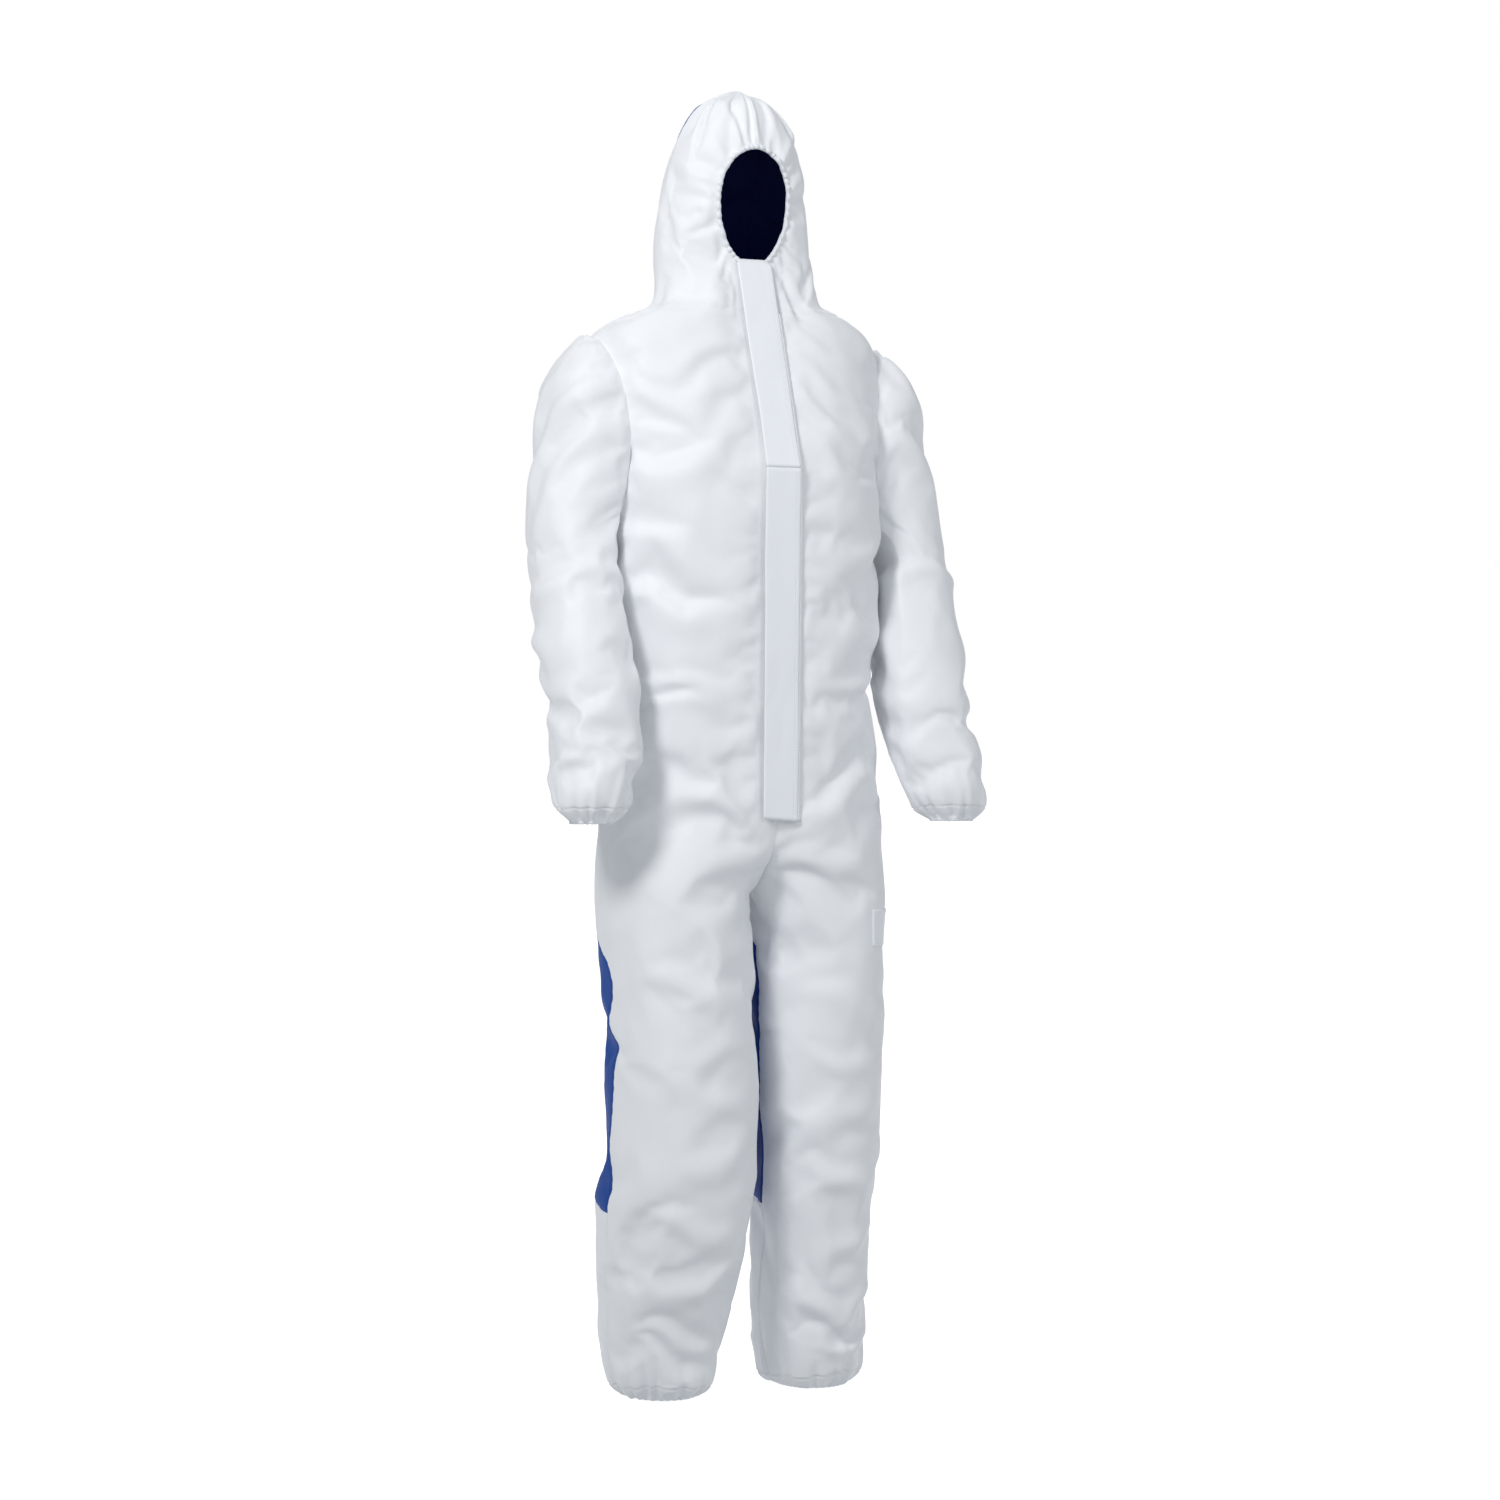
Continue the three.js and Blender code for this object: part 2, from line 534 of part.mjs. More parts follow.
// Slider in its own frame: x across, y into the suit, z along the zip, with y = 0 on the cloth's outer face.
// One end of its plates is the nose, joined by a post that runs in the slit between the two rows of teeth.
function sliderGeometry() {
  const top = CHAIN_TOP + RUNNING;
  const bottom = CHAIN_TOP - CHAIN_DEPTH - RUNNING;
  const w = SLIDER_HALF_WIDTH;
  const l = SLIDER_HALF_LENGTH;
  const lip = CHAIN_OUTER + RUNNING + 0.2;
  const lipDrop = 0.5;
  const post = CHAIN_INNER - RUNNING;
  const window = top + PLATE + BAIL_RISE;
  const bailWidth = 0.8;
  const upper = box(-w, w, -top - PLATE, -top, -l, l);
  const lower = box(-w, w, -bottom, -bottom + PLATE, -l, l);
  const middle = box(-post, post, -top - PLATE / 2, -bottom + PLATE / 2, 0, l - 1);
  const lips = [-1, 1].flatMap((side) => {
    const [a, b] = side < 0 ? [-w, -lip] : [lip, w];
    const fromTop = box(a, b, -top - PLATE / 2, -top + lipDrop, -l, l);
    const fromBottom = box(a, b, -bottom - lipDrop, -bottom + PLATE / 2, -l, l);
    return [fromTop, fromBottom];
  });
  const feet = [-1, 1].map((end) =>
    box(-bailWidth, bailWidth, -window - 1, -top - PLATE / 2, end * (l - 1) - 1, end * (l - 1) + 1),
  );
  const bridge = box(-bailWidth, bailWidth, -window - 1, -window, -l, l);
  return join(upper, lower, middle, ...lips, ...feet, bridge);
}

// Pull tab in the same frame, hanging from the cross bar that runs under the bail.
const TAB_BAR_HEIGHT = CHAIN_TOP + RUNNING + PLATE + BAIL_RISE / 2;

function tabGeometry() {
  const half = 0.6;
  const y0 = -TAB_BAR_HEIGHT - half;
  const y1 = -TAB_BAR_HEIGHT + half;
  const armInner = 1.2;
  const armOuter = 3.2;
  const armEnd = SLIDER_HALF_LENGTH + 2;
  const bar = box(-armOuter, armOuter, y0, y1, -half, half);
  const arms = [-1, 1].map((side) => {
    const [a, b] = side < 0 ? [-armOuter, -armInner] : [armInner, armOuter];
    return box(a, b, y0, y1, -armEnd, half);
  });
  const outline = new THREE.Shape();
  const w = TAB_HALF_WIDTH;
  outline.moveTo(-armOuter, -armEnd + 1);
  outline.lineTo(-w, -armEnd - 4);
  outline.lineTo(-w, -TAB_LENGTH + w);
  outline.absarc(0, -TAB_LENGTH + w, w, Math.PI, 2 * Math.PI, false);
  outline.lineTo(w, -armEnd - 4);
  outline.lineTo(armOuter, -armEnd + 1);
  const shape = { depth: 2 * half, bevelEnabled: false, curveSegments: 8 };
  const plate = new THREE.ExtrudeGeometry(outline, shape);
  plate.rotateX(Math.PI / 2).translate(0, y1, 0);
  return join(bar, ...arms, plate);
}

// Place of a slider on a run of the zip, as a group whose z runs along the zip.
function sliderGroup(run, z) {
  const group = new THREE.Group();
  group.position.set(0, -frontLine(z), z);
  group.rotation.x = Math.atan2(-run.up.x, run.up.y);
  suit.add(group);
  return group;
}

function buildSliders() {
  const [lower, upper] = runs;
  const topGroup = sliderGroup(upper, ZIP_TOP_Z - STOP_LENGTH - SLIDER_HALF_LENGTH - 2);
  add("top_slider", sliderGeometry(), zipMetal, topGroup);
  add("top_pull_tab", tabGeometry(), zipMetal, topGroup);
  const bottomGroup = sliderGroup(lower, ZIP_BOTTOM_Z + TAB_LENGTH + 2);
  add("bottom_slider", sliderGeometry().rotateY(Math.PI), zipMetal, bottomGroup);
  add("bottom_pull_tab", tabGeometry(), zipMetal, bottomGroup);
}

// ---------- storm flap ----------
const FLAP_HEIGHT = CHAIN_TOP + RUNNING + PLATE + BAIL_RISE + 2.2; // clears the slider's bail

function buildFlap() {
  const high = FLAP_HEIGHT + FLAP_THICK;
  const half = SEAM / 2;
  const leaf = [FLAP_FREE_X, FLAP_HINGE_X, FLAP_HEIGHT, high];
  add("storm_flap_lower", strip(...leaf, FLAP_END_Z, BEND_Z - half), flapCloth);
  add("storm_flap_upper", strip(...leaf, BEND_Z + half, CHIN_Z), flapCloth);
  const edge = [FLAP_HINGE_X + SEAM, FLAP_HINGE_X + FLAP_STITCH, SEAM, FLAP_HEIGHT];
  add("storm_flap_stitched_edge", strip(...edge, FLAP_END_Z, NECK_Z - 2), flapCloth);
}

// ---------- sleeves ----------
function buildSleeves() {
  for (const side of [-1, 1]) {
    const name = NAMES[side];
    const section = (z) => sleeveSection(side, z);
    const turn = mix(SLEEVE_HEAD_Z, SHOULDER_Z, 0.89);
    const head = tube(section, levels(SLEEVE_HEAD_Z, SHOULDER_Z, 45, [turn]), 14);
    add(`${name}_sleeve_head`, cut(head, armholeTool()), cloth);
    const elbowHigh = ELBOW_Z + ELBOW_REACH;
    const elbowLow = ELBOW_Z - ELBOW_REACH;
    add(`${name}_upper_sleeve`, tube(section, levels(elbowHigh, SLEEVE_HEAD_Z, 65), 14), cloth);
    add(`${name}_elbow`, tube(section, levels(elbowLow, elbowHigh, 65), 14), cloth);
    add(`${name}_forearm`, tube(section, levels(CUFF_Z + CUFF_HEIGHT, elbowLow, 45), 14), cloth);
    add(`${name}_cuff`, tube(section, levels(CUFF_Z, CUFF_Z + CUFF_HEIGHT, 22), 14), elastic);
  }
}

// ---------- legs ----------
function buildLegs() {
  for (const side of [-1, 1]) {
    const name = NAMES[side];
    const section = (z) => halfSection(side, z);
    const kneeHigh = KNEE_Z + KNEE_REACH;
    const kneeLow = KNEE_Z - KNEE_REACH;
    const front = (...heights) =>
      panel(section, (z, s) => halfAngles(side, -1, z, s), levels(...heights), stepsFor(side, 5, 3, false));
    const back = (...heights) =>
      panel(section, (z, s) => halfAngles(side, 1, z, s), levels(...heights), stepsFor(side, 5, 3, true));
    add(`${name}_thigh_front`, front(kneeHigh, THIGH_Z, 90), cloth);
    add(`${name}_thigh_back`, back(kneeHigh, THIGH_Z, 90), blueCloth);
    add(`${name}_knee_front`, front(kneeLow, kneeHigh, 80), cloth);
    add(`${name}_knee_back`, back(kneeLow, kneeHigh, 80), blueCloth);
    add(`${name}_shin_front`, front(ANKLE_HEIGHT, kneeLow, 75, [BLUE_END_Z]), cloth);
    add(`${name}_calf_back`, back(BLUE_END_Z, kneeLow, 75), blueCloth);
    add(`${name}_ankle_back`, back(ANKLE_HEIGHT, BLUE_END_Z, 75), cloth);
    add(`${name}_ankle_hem`, tube(section, levels(0, ANKLE_HEIGHT, 22), 16), elastic);
  }
  const patchSection = (z) => halfSection(1, z);
  const patchSpan = () => [PATCH.fromAngle + 360, PATCH.toAngle + 360];
  const patchLevels = levels(PATCH.low, PATCH.high, 60);
  const patch = panel(patchSection, patchSpan, patchLevels, [5], PATCH.thick, PATCH.thick + LOOSE);
  add("left_thigh_patch", patch, flapCloth);
}

// ---------- hood ----------
const hoodRise = (share) => mix(CHIN_Z, CROWN_Z, share);
const hoodTable = [
  // height, half width, depth to the front, depth to the back
  [NECK_Z, NECK_HALF, frontLine(NECK_Z), NECK_BACK],
  [mix(NECK_Z, CHIN_Z, 0.52), NECK_HALF - 2, frontLine(mix(NECK_Z, CHIN_Z, 0.52)) + 2, NECK_BACK + 14],
  [CHIN_Z, NECK_HALF - 5, CHIN_FRONT + 3, NECK_BACK + 24],
  [hoodRise(0.2), NECK_HALF - 11, 52, NECK_BACK + 28],
  [hoodRise(0.42), NECK_HALF - 20, 58, NECK_BACK + 26],
  [hoodRise(0.6), NECK_HALF - 31, 60, NECK_BACK + 20],
  [hoodRise(0.77), NECK_HALF - 44, 56, NECK_BACK + 7],
  [hoodRise(0.88), NECK_HALF - 57, 48, NECK_BACK - 8],
  [hoodRise(0.956), NECK_HALF - 77, 33, NECK_BACK - 31],
];

// Closed dome through the hood's sections, taken in all round by a wall.
function hoodDome(inset) {
  const steps = 28;
  const low = NECK_Z + SEAM / 2;
  const rows = hoodTable.map(([z, ...sizes]) => [Math.max(z, low), ...sizes]);
  if (inset) rows.unshift([low - 4 * WALL, ...hoodTable[0].slice(1)]);
  const points = [];
  for (const [z, a, front, back] of rows) {
    const section = { cx: 0, cy: 0, a: a - inset, front: front - inset, back: back - inset };
    const drop = inset * smooth((z - hoodRise(0.6)) / (hoodRise(0.95) - hoodRise(0.6)));
    for (let i = 0; i < steps; i += 1) {
      const p = pointOf(section, (360 * i) / steps);
      points.push([p.x, p.y, z - drop]);
    }
  }
  const top = points.push([0, 4, CROWN_Z - inset]) - 1;
  const bottom = points.push([0, 4, rows[0][0]]) - 1;
  const last = (rows.length - 1) * steps;
  const faces = [];
  for (let i = 0; i < steps; i += 1) {
    const next = (i + 1) % steps;
    for (let r = 0; r < last; r += steps) {
      faces.push(r + i, r + next, r + next + steps, r + i, r + next + steps, r + i + steps);
    }
    faces.push(last + i, last + next, top);
    faces.push(next, i, bottom);
  }
  return geometryOf(points, faces);
}

// The elastic round the face: a torus drawn out to the opening's oval and laid on the hood's front.
function faceElastic() {
  const g = new THREE.TorusGeometry(1, 0.2, 8, 36);
  const p = g.getAttribute("position");
  for (let i = 0; i < p.count; i += 1) {
    const [u, v, w] = [p.getX(i), p.getY(i), p.getZ(i)];
    const angle = Math.atan2(v, u);
    const across = (Math.hypot(u, v) - 1) / 0.2;
    const off = FACE_ELASTIC + SEAM;
    const x = (FACE.halfWidth - off + across * FACE_ELASTIC) * Math.cos(angle);
    const z = FACE.z + (FACE.halfHeight - off + across * FACE_ELASTIC) * Math.sin(angle);
    const front = rowAt(hoodTable, z)[2];
    p.setXYZ(i, x, -front + FACE_ELASTIC - (w / 0.2) * FACE_ELASTIC, z);
  }
  return g;
}

function buildHood() {
  const shell = solidOf(hoodDome(0)).subtract(solidOf(hoodDome(WALL)));
  const reach = 2 * HEIGHT;
  const face = new THREE.CylinderGeometry(1, 1, reach, 36)
    .scale(FACE.halfWidth, 1, FACE.halfHeight)
    .translate(0, -reach / 2, FACE.z);
  const slotHalf = TAPE_EDGE + SEAM;
  const slot = box(-slotHalf, slotHalf, -reach, 0, 0, FACE.z);
  const open = shell.subtract(solidOf(face)).subtract(solidOf(slot));
  const half = SEAM / 2;
  const inBack = (grow) => {
    const x = HOOD_BLUE_HALF + grow;
    return solidOf(box(-x, x, HOOD_BLUE_FRONT - grow, reach, 0, reach));
  };
  const sideOf = (x0, x1) => {
    const part = solidOf(box(x0, x1, -reach, reach, 0, reach));
    return open.intersect(part).subtract(inBack(half));
  };
  add("hood_right_side", geometryFrom(sideOf(-reach, -half)), cloth);
  add("hood_left_side", geometryFrom(sideOf(half, reach)), cloth);
  add("hood_back_panel", geometryFrom(open.intersect(inBack(-half))), blueCloth);
  add("face_elastic", geometryFrom(solidOf(faceElastic()).subtract(open)), elastic);
}

buildBody();
buildZip();
buildSliders();
buildFlap();
buildSleeves();
buildLegs();
buildHood();

export default suit;
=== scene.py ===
"""A hooded chemical protective suit in white film laminate, with a blue breathable back.

The cloth is laid out as one grid over the whole suit, cut along its seams, given its folds,
crumpled by a short cloth simulation, and then parted into its sewn panels.
"""
import math

import bmesh
import bpy
import numpy as np
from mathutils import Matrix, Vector, bvhtree, kdtree, noise


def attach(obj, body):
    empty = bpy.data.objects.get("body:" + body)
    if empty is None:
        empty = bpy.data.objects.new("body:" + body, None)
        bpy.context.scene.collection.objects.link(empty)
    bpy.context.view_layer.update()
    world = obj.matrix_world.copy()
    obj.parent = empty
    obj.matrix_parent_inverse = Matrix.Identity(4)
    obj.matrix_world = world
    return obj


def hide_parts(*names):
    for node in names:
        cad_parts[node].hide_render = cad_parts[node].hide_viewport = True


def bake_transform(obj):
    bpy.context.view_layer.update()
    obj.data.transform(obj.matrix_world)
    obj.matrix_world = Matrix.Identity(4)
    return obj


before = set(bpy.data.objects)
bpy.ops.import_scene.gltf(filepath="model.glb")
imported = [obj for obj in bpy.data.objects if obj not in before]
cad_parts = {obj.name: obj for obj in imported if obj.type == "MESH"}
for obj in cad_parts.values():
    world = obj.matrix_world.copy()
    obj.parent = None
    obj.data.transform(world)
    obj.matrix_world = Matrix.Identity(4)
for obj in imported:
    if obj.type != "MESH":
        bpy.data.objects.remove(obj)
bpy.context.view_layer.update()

# ---------- sizes, in metres; heights are from the hems, and the neck seam is the row's zero ----------
TALL = 1.742
NECK = 0.8285 * TALL
CROTCH, HIP, THIGH = 0.419 * TALL, 0.488 * TALL, 0.376 * TALL
WAIST, BEND, SHOULDER = 0.5385 * TALL, 0.706 * TALL, 0.8025 * TALL
KNEE, BLUE_END = 0.23 * TALL, 0.146 * TALL
CHIN, CROWN = 0.869 * TALL, TALL
CUFF, ELBOW, SLEEVE_HEAD = 0.4386 * TALL, 0.58 * TALL, 0.689 * TALL
HEAD_TOP = SHOULDER + 0.012
LEG_CUT = 0.600     # where a trouser's upper cloth meets its lower cloth
SLEEVE_CUT = 1.021  # where a sleeve's upper cloth meets its lower cloth
ROUND = 2.2         # squareness of every section
BEND_FRONT, CHIN_FRONT, LOWER_SLOPE = 0.135, 0.042, 0.021
UPPER_SLOPE = (BEND_FRONT - CHIN_FRONT) / (CHIN - BEND)
SLOT = 0.0142       # half width of the front opening, filled by the zip
SLOT_LOW = 0.7682
ARM_Y, ARM_Z, ARM_DEEP, ARM_TALL = 0.020, 1.269, 0.077, 0.137
RING_X, RING_OUT, RING_IN = 0.182, 0.023, 0.008  # the armhole leans out by these at its top and bottom
RING_STEP = 0.009    # longest edge left round an armhole
PULLED = 0.07        # how far down the sleeve the armhole draws the cloth
FACE_Z, FACE_WIDE, FACE_TALL = 1.5831, 0.051, 0.079
HOOD_PANEL, HOOD_PANEL_FRONT = 0.060, 0.030
CLOTH = 0.0005      # thickness of the cloth
OUT_COLUMNS, IN_COLUMNS, ARM_COLUMNS = 72, 30, 72


def mix(a, b, t):
    return a + (b - a) * t


def smooth(t):
    t = min(max(t, 0.0), 1.0)
    return t * t * (3 - 2 * t)


def front_line(z):
    if z > BEND:
        return BEND_FRONT - (z - BEND) * UPPER_SLOPE
    return BEND_FRONT - (BEND - z) * LOWER_SLOPE


BODY = [  # height, half width, depth of the back
    (CROTCH, 0.197, 0.102), (HIP, 0.195, 0.104), (WAIST, 0.187, 0.098),
    (mix(WAIST, BEND, 0.35), 0.192, 0.102), (mix(WAIST, BEND, 0.73), 0.200, 0.108),
    (BEND, 0.212, 0.114), (mix(BEND, SHOULDER, 0.48), 0.214, 0.114),
    (mix(BEND, SHOULDER, 0.79), 0.213, 0.106), (SHOULDER, 0.212, 0.098),
    (mix(SHOULDER, NECK, 0.57), 0.190, 0.090), (NECK, 0.150, 0.080),
]
LEGS = {  # height, middle across, middle in depth, half width, half depth
    -1: [
        (0, -0.113, 0.004, 0.044, 0.054), (0.022, -0.114, 0.002, 0.060, 0.070),
        (0.04 * TALL, -0.115, 0, 0.071, 0.081), (0.075 * TALL, -0.112, -0.013, 0.081, 0.091),
        (BLUE_END, -0.107, -0.028, 0.096, 0.105), (KNEE, -0.102, -0.034, 0.094, 0.108),
        (mix(KNEE, THIGH, 0.73), -0.100, -0.028, 0.094, 0.109), (THIGH, -0.100, -0.018, 0.096, 0.112),
    ],
    1: [
        (0, 0.110, 0.010, 0.044, 0.054), (0.022, 0.110, 0.010, 0.060, 0.072),
        (0.04 * TALL, 0.110, 0.009, 0.070, 0.083), (0.075 * TALL, 0.109, 0.002, 0.073, 0.088),
        (BLUE_END, 0.110, -0.012, 0.076, 0.091), (KNEE, 0.107, -0.014, 0.081, 0.098),
        (mix(KNEE, THIGH, 0.73), 0.102, -0.015, 0.083, 0.102), (THIGH, 0.102, -0.014, 0.090, 0.108),
    ],
}
SLEEVE = [  # height, middle across, middle in depth, half width, half depth
    (CUFF, 0.262, -0.118, 0.027, 0.027), (CUFF + 0.022, 0.261, -0.114, 0.044, 0.044),
    (mix(CUFF, ELBOW, 0.23), 0.256, -0.104, 0.052, 0.056), (mix(CUFF, ELBOW, 0.5), 0.247, -0.078, 0.057, 0.063),
    (mix(CUFF, ELBOW, 0.76), 0.242, -0.060, 0.061, 0.067), (ELBOW, 0.239, -0.045, 0.063, 0.068),
    (mix(ELBOW, SLEEVE_HEAD, 0.64), 0.233, -0.004, 0.061, 0.072),
    (mix(SLEEVE_HEAD, SHOULDER, 0.06), 0.221, 0.012, 0.060, 0.080),
    (mix(SLEEVE_HEAD, SHOULDER, 0.45), 0.211, 0.020, 0.058, 0.086),
    (mix(SLEEVE_HEAD, SHOULDER, 0.71), 0.208, 0.024, 0.053, 0.084),
    (mix(SLEEVE_HEAD, SHOULDER, 0.90), 0.204, 0.026, 0.038, 0.066), (HEAD_TOP, 0.200, 0.026, 0.018, 0.034),
]
HOOD = [  # height, half width, front, back
    (NECK, 0.150, front_line(NECK), 0.080), (NECK + 0.013, 0.126, front_line(NECK + 0.013), 0.084),
    (mix(NECK, CHIN, 0.52), 0.115, front_line(mix(NECK, CHIN, 0.52)) + 0.002, 0.092),
    (CHIN, 0.110, 0.045, 0.102), (mix(CHIN, CROWN, 0.2), 0.104, 0.052, 0.106),
    (mix(CHIN, CROWN, 0.42), 0.095, 0.058, 0.104), (mix(CHIN, CROWN, 0.6), 0.084, 0.060, 0.098),
    (mix(CHIN, CROWN, 0.77), 0.071, 0.056, 0.085), (mix(CHIN, CROWN, 0.88), 0.058, 0.048, 0.070),
    (mix(CHIN, CROWN, 0.956), 0.038, 0.033, 0.047), (CROWN, 0.004, 0.003, 0.005),
]


def row_at(table, z):
    """A table's values at one height, on a smooth curve through its rows."""
    last = len(table) - 1
    i = 0
    while i < last - 1 and table[i + 1][0] < z:
        i += 1
    span = table[i + 1][0] - table[i][0]
    t = min(max((z - table[i][0]) / span, 0.0), 1.0)
    t2, t3 = t * t, t * t * t

    def slope(k, c):
        low, high = table[max(k - 1, 0)], table[min(k + 1, last)]
        return (high[c] - low[c]) / max(high[0] - low[0], 1e-6) * span

    return [
        (2 * t3 - 3 * t2 + 1) * table[i][c] + (t3 - 2 * t2 + t) * slope(i, c)
        + (3 * t2 - 2 * t3) * table[i + 1][c] + (t3 - t2) * slope(i + 1, c)
        for c in range(1, len(table[0]))
    ]


def power(v):
    return math.copysign(abs(v) ** (2 / ROUND), v)


def resample(points, count):
    """The same line through count + 1 evenly spaced points."""
    points = np.array(points)
    steps = np.linalg.norm(np.diff(points, axis=0), axis=1)
    along = np.concatenate([[0], np.cumsum(steps)])
    want = np.linspace(0, along[-1], count + 1)
    return np.stack([np.interp(want, along, points[:, c]) for c in range(2)], axis=1)


def body_arc(side, z):
    """A half section of the trunk or hood, from the front's middle round the side to the back's."""
    if z <= NECK:
        a, back = row_at(BODY, z)
        front = front_line(z)
    else:
        a, front, back = row_at(HOOD, z)
    points = []
    for i in range(241):
        turn = math.pi * i / 240
        depth = front if turn < math.pi / 2 else back
        points.append((side * a * power(math.sin(turn)), -depth * power(math.cos(turn))))
    return points


def leg_section(side, z):
    """Middle, half width, front and back of one leg, growing into the hips above the thigh."""
    if z <= THIGH:
        cx, cy, a, b = row_at(LEGS[side], z)
        return cx, cy, a, b, b
    lowx, lowy, lowa, lowb = LEGS[side][-1][1:]
    t = smooth((z - THIGH) / (HIP - THIGH))
    at_crotch = smooth((CROTCH - THIGH) / (HIP - THIGH))
    body_a, body_back = row_at(BODY, max(z, CROTCH))
    outer = mix(side * lowx + lowa, body_a, t)
    a = mix(lowa, body_a, t)
    cy = mix(lowy, 0, t)
    if z >= CROTCH:
        front = front_line(z) + cy
    else:
        front = mix(lowb, front_line(CROTCH) + mix(lowy, 0, at_crotch), t / at_crotch)
    back = mix(lowb, body_back - cy, t)
    return side * (outer - a), cy, a, front, back


def leg_gap(z):
    return 0.0016 * min(max((CROTCH - z) / 0.02, 0.0), 1.0)


def leg_loop(side, z):
    """One leg's section as an outer run, front to back, and an inner run, back to front."""
    cx, cy, a, front, back = leg_section(side, z)
    points = []
    for i in range(721):  # from the innermost point, by the front, the outside and the back
        turn = 2 * math.pi * i / 720
        x = -side * a * power(math.cos(turn))
        depth = front if math.sin(turn) > 0 else back
        y = -depth * power(math.sin(turn))
        x = side * max(side * (cx + x), leg_gap(z))
        points.append((x, cy + y))
    points = np.array(points)
    steps = np.linalg.norm(np.diff(points, axis=0), axis=1)
    along = np.concatenate([[0], np.cumsum(steps)])
    total = along[-1]
    if z >= HIP:
        return points, None
    flat = np.abs(np.abs(points[:, 0]) - leg_gap(z)) < 1e-6
    share = smooth((CROTCH - z) / 0.05)
    if z > THIGH - 0.03 and flat[2]:
        ahead = along[max(i for i in range(360) if flat[i])]
        behind = along[min(i for i in range(361, 721) if flat[i])]
    else:
        ahead, behind = 0, total
    ahead = mix(ahead, total * 0.14, share) if ahead else total * 0.14
    behind = mix(behind, total * 0.86, share) if behind < total else total * 0.86

    def run(low, high, count):
        want = np.linspace(low, high, count + 1) % total
        return np.stack([np.interp(want, along, points[:, c]) for c in range(2)], axis=1)

    return run(ahead, behind, OUT_COLUMNS), run(behind, total + ahead, IN_COLUMNS)


def spaced(low, high, step):
    return list(np.linspace(low, high, max(2, round((high - low) / step) + 1)))


def heights(*stops):
    """Row heights through (height, step above it) stops."""
    rows = []
    for (low, step), (high, _) in zip(stops, stops[1:]):
        rows += spaced(low, high, step)[:-1]
    return rows + [stops[-1][0]]


def sleeve_section(z):
    return row_at(SLEEVE, min(z, HEAD_TOP))


def body_half_width(z):
    return row_at(BODY, max(min(z, NECK), CROTCH))[0]


# ---------- the whole suit's cloth as one grid ----------
verts, faces = [], []


def add_row(points, z):
    start = len(verts)
    verts.extend((float(x), float(y), z) for x, y in points)
    return list(range(start, len(verts)))


def join_rows(low, high, side, closed):
    """Faces between two rows that run the same way round; their fronts look outwards."""
    n = len(low)
    for i in range(n if closed else n - 1):
        j = (i + 1) % n
        quad = [low[i], low[j], high[j], high[i]]
        faces.append(quad if side < 0 else quad[::-1])


leg_rows = heights((0.0, 0.003), (0.03, 0.005), (0.10, 0.008), (CROTCH, 1))
body_rows = heights((CROTCH, 0.008), (NECK, 0.005), (CROWN - 0.004, 1))
for side in (-1, 1):
    before = None
    for z in leg_rows:
        outer, inner = leg_loop(side, z)
        if z == leg_rows[-1]:
            other = leg_loop(-side, z)[0]
            for run in (outer, inner):
                run[0, 0] = run[-1, 0] = 0
            ends = (outer[0, 1] + other[0, 1]) / 2, (outer[-1, 1] + other[-1, 1]) / 2
            outer[0, 1], outer[-1, 1] = ends
            inner = np.stack([np.zeros(IN_COLUMNS + 1), np.linspace(ends[1], ends[0], IN_COLUMNS + 1)], axis=1)
        row = add_row(list(outer[:-1]) + list(inner[:-1]), z)
        if before:
            join_rows(before, row, side, True)
        before = row
    crotch_row = before[:OUT_COLUMNS] + [before[OUT_COLUMNS]]
    before = crotch_row
    for z in body_rows[1:]:
        if z < HIP:
            arcs = []
            for half in (side, -side):
                cx, cy, a, front, back = leg_section(half, z)
                arc = []
                for i in range(721):
                    turn = 2 * math.pi * i / 720
                    x = cx - half * a * power(math.cos(turn))
                    depth = front if math.sin(turn) > 0 else back
                    if half * x >= 0 or abs(i - 360) < 180:
                        arc.append((max(half * x, 0.0) * half, cy - depth * power(math.sin(turn))))
                keep = [p for p in arc if abs(p[0]) > 1e-9]
                first = [(0.0, keep[0][1])]
                last = [(0.0, keep[-1][1])]
                arcs.append(resample(first + keep + last, OUT_COLUMNS))
            mine, other = arcs
            mine = mine.copy()
            lift = (other[0, 1] - mine[0, 1]) / 2, (other[-1, 1] - mine[-1, 1]) / 2
            for k in range(OUT_COLUMNS + 1):
                fade = smooth(1 - k / 14), smooth(1 - (OUT_COLUMNS - k) / 14)
                mine[k, 1] += lift[0] * fade[0] + lift[1] * fade[1]
        else:
            mine = resample(body_arc(side, z), OUT_COLUMNS)
            mine[0, 0] = mine[-1, 0] = 0
        row = add_row(mine, z)
        join_rows(before, row, side, False)
        before = row
    pole = len(verts)
    verts.append((0.0, 0.004, CROWN))
    for i in range(OUT_COLUMNS):
        tri = [before[i], before[i + 1], pole]
        faces.append(tri if side < 0 else tri[::-1])

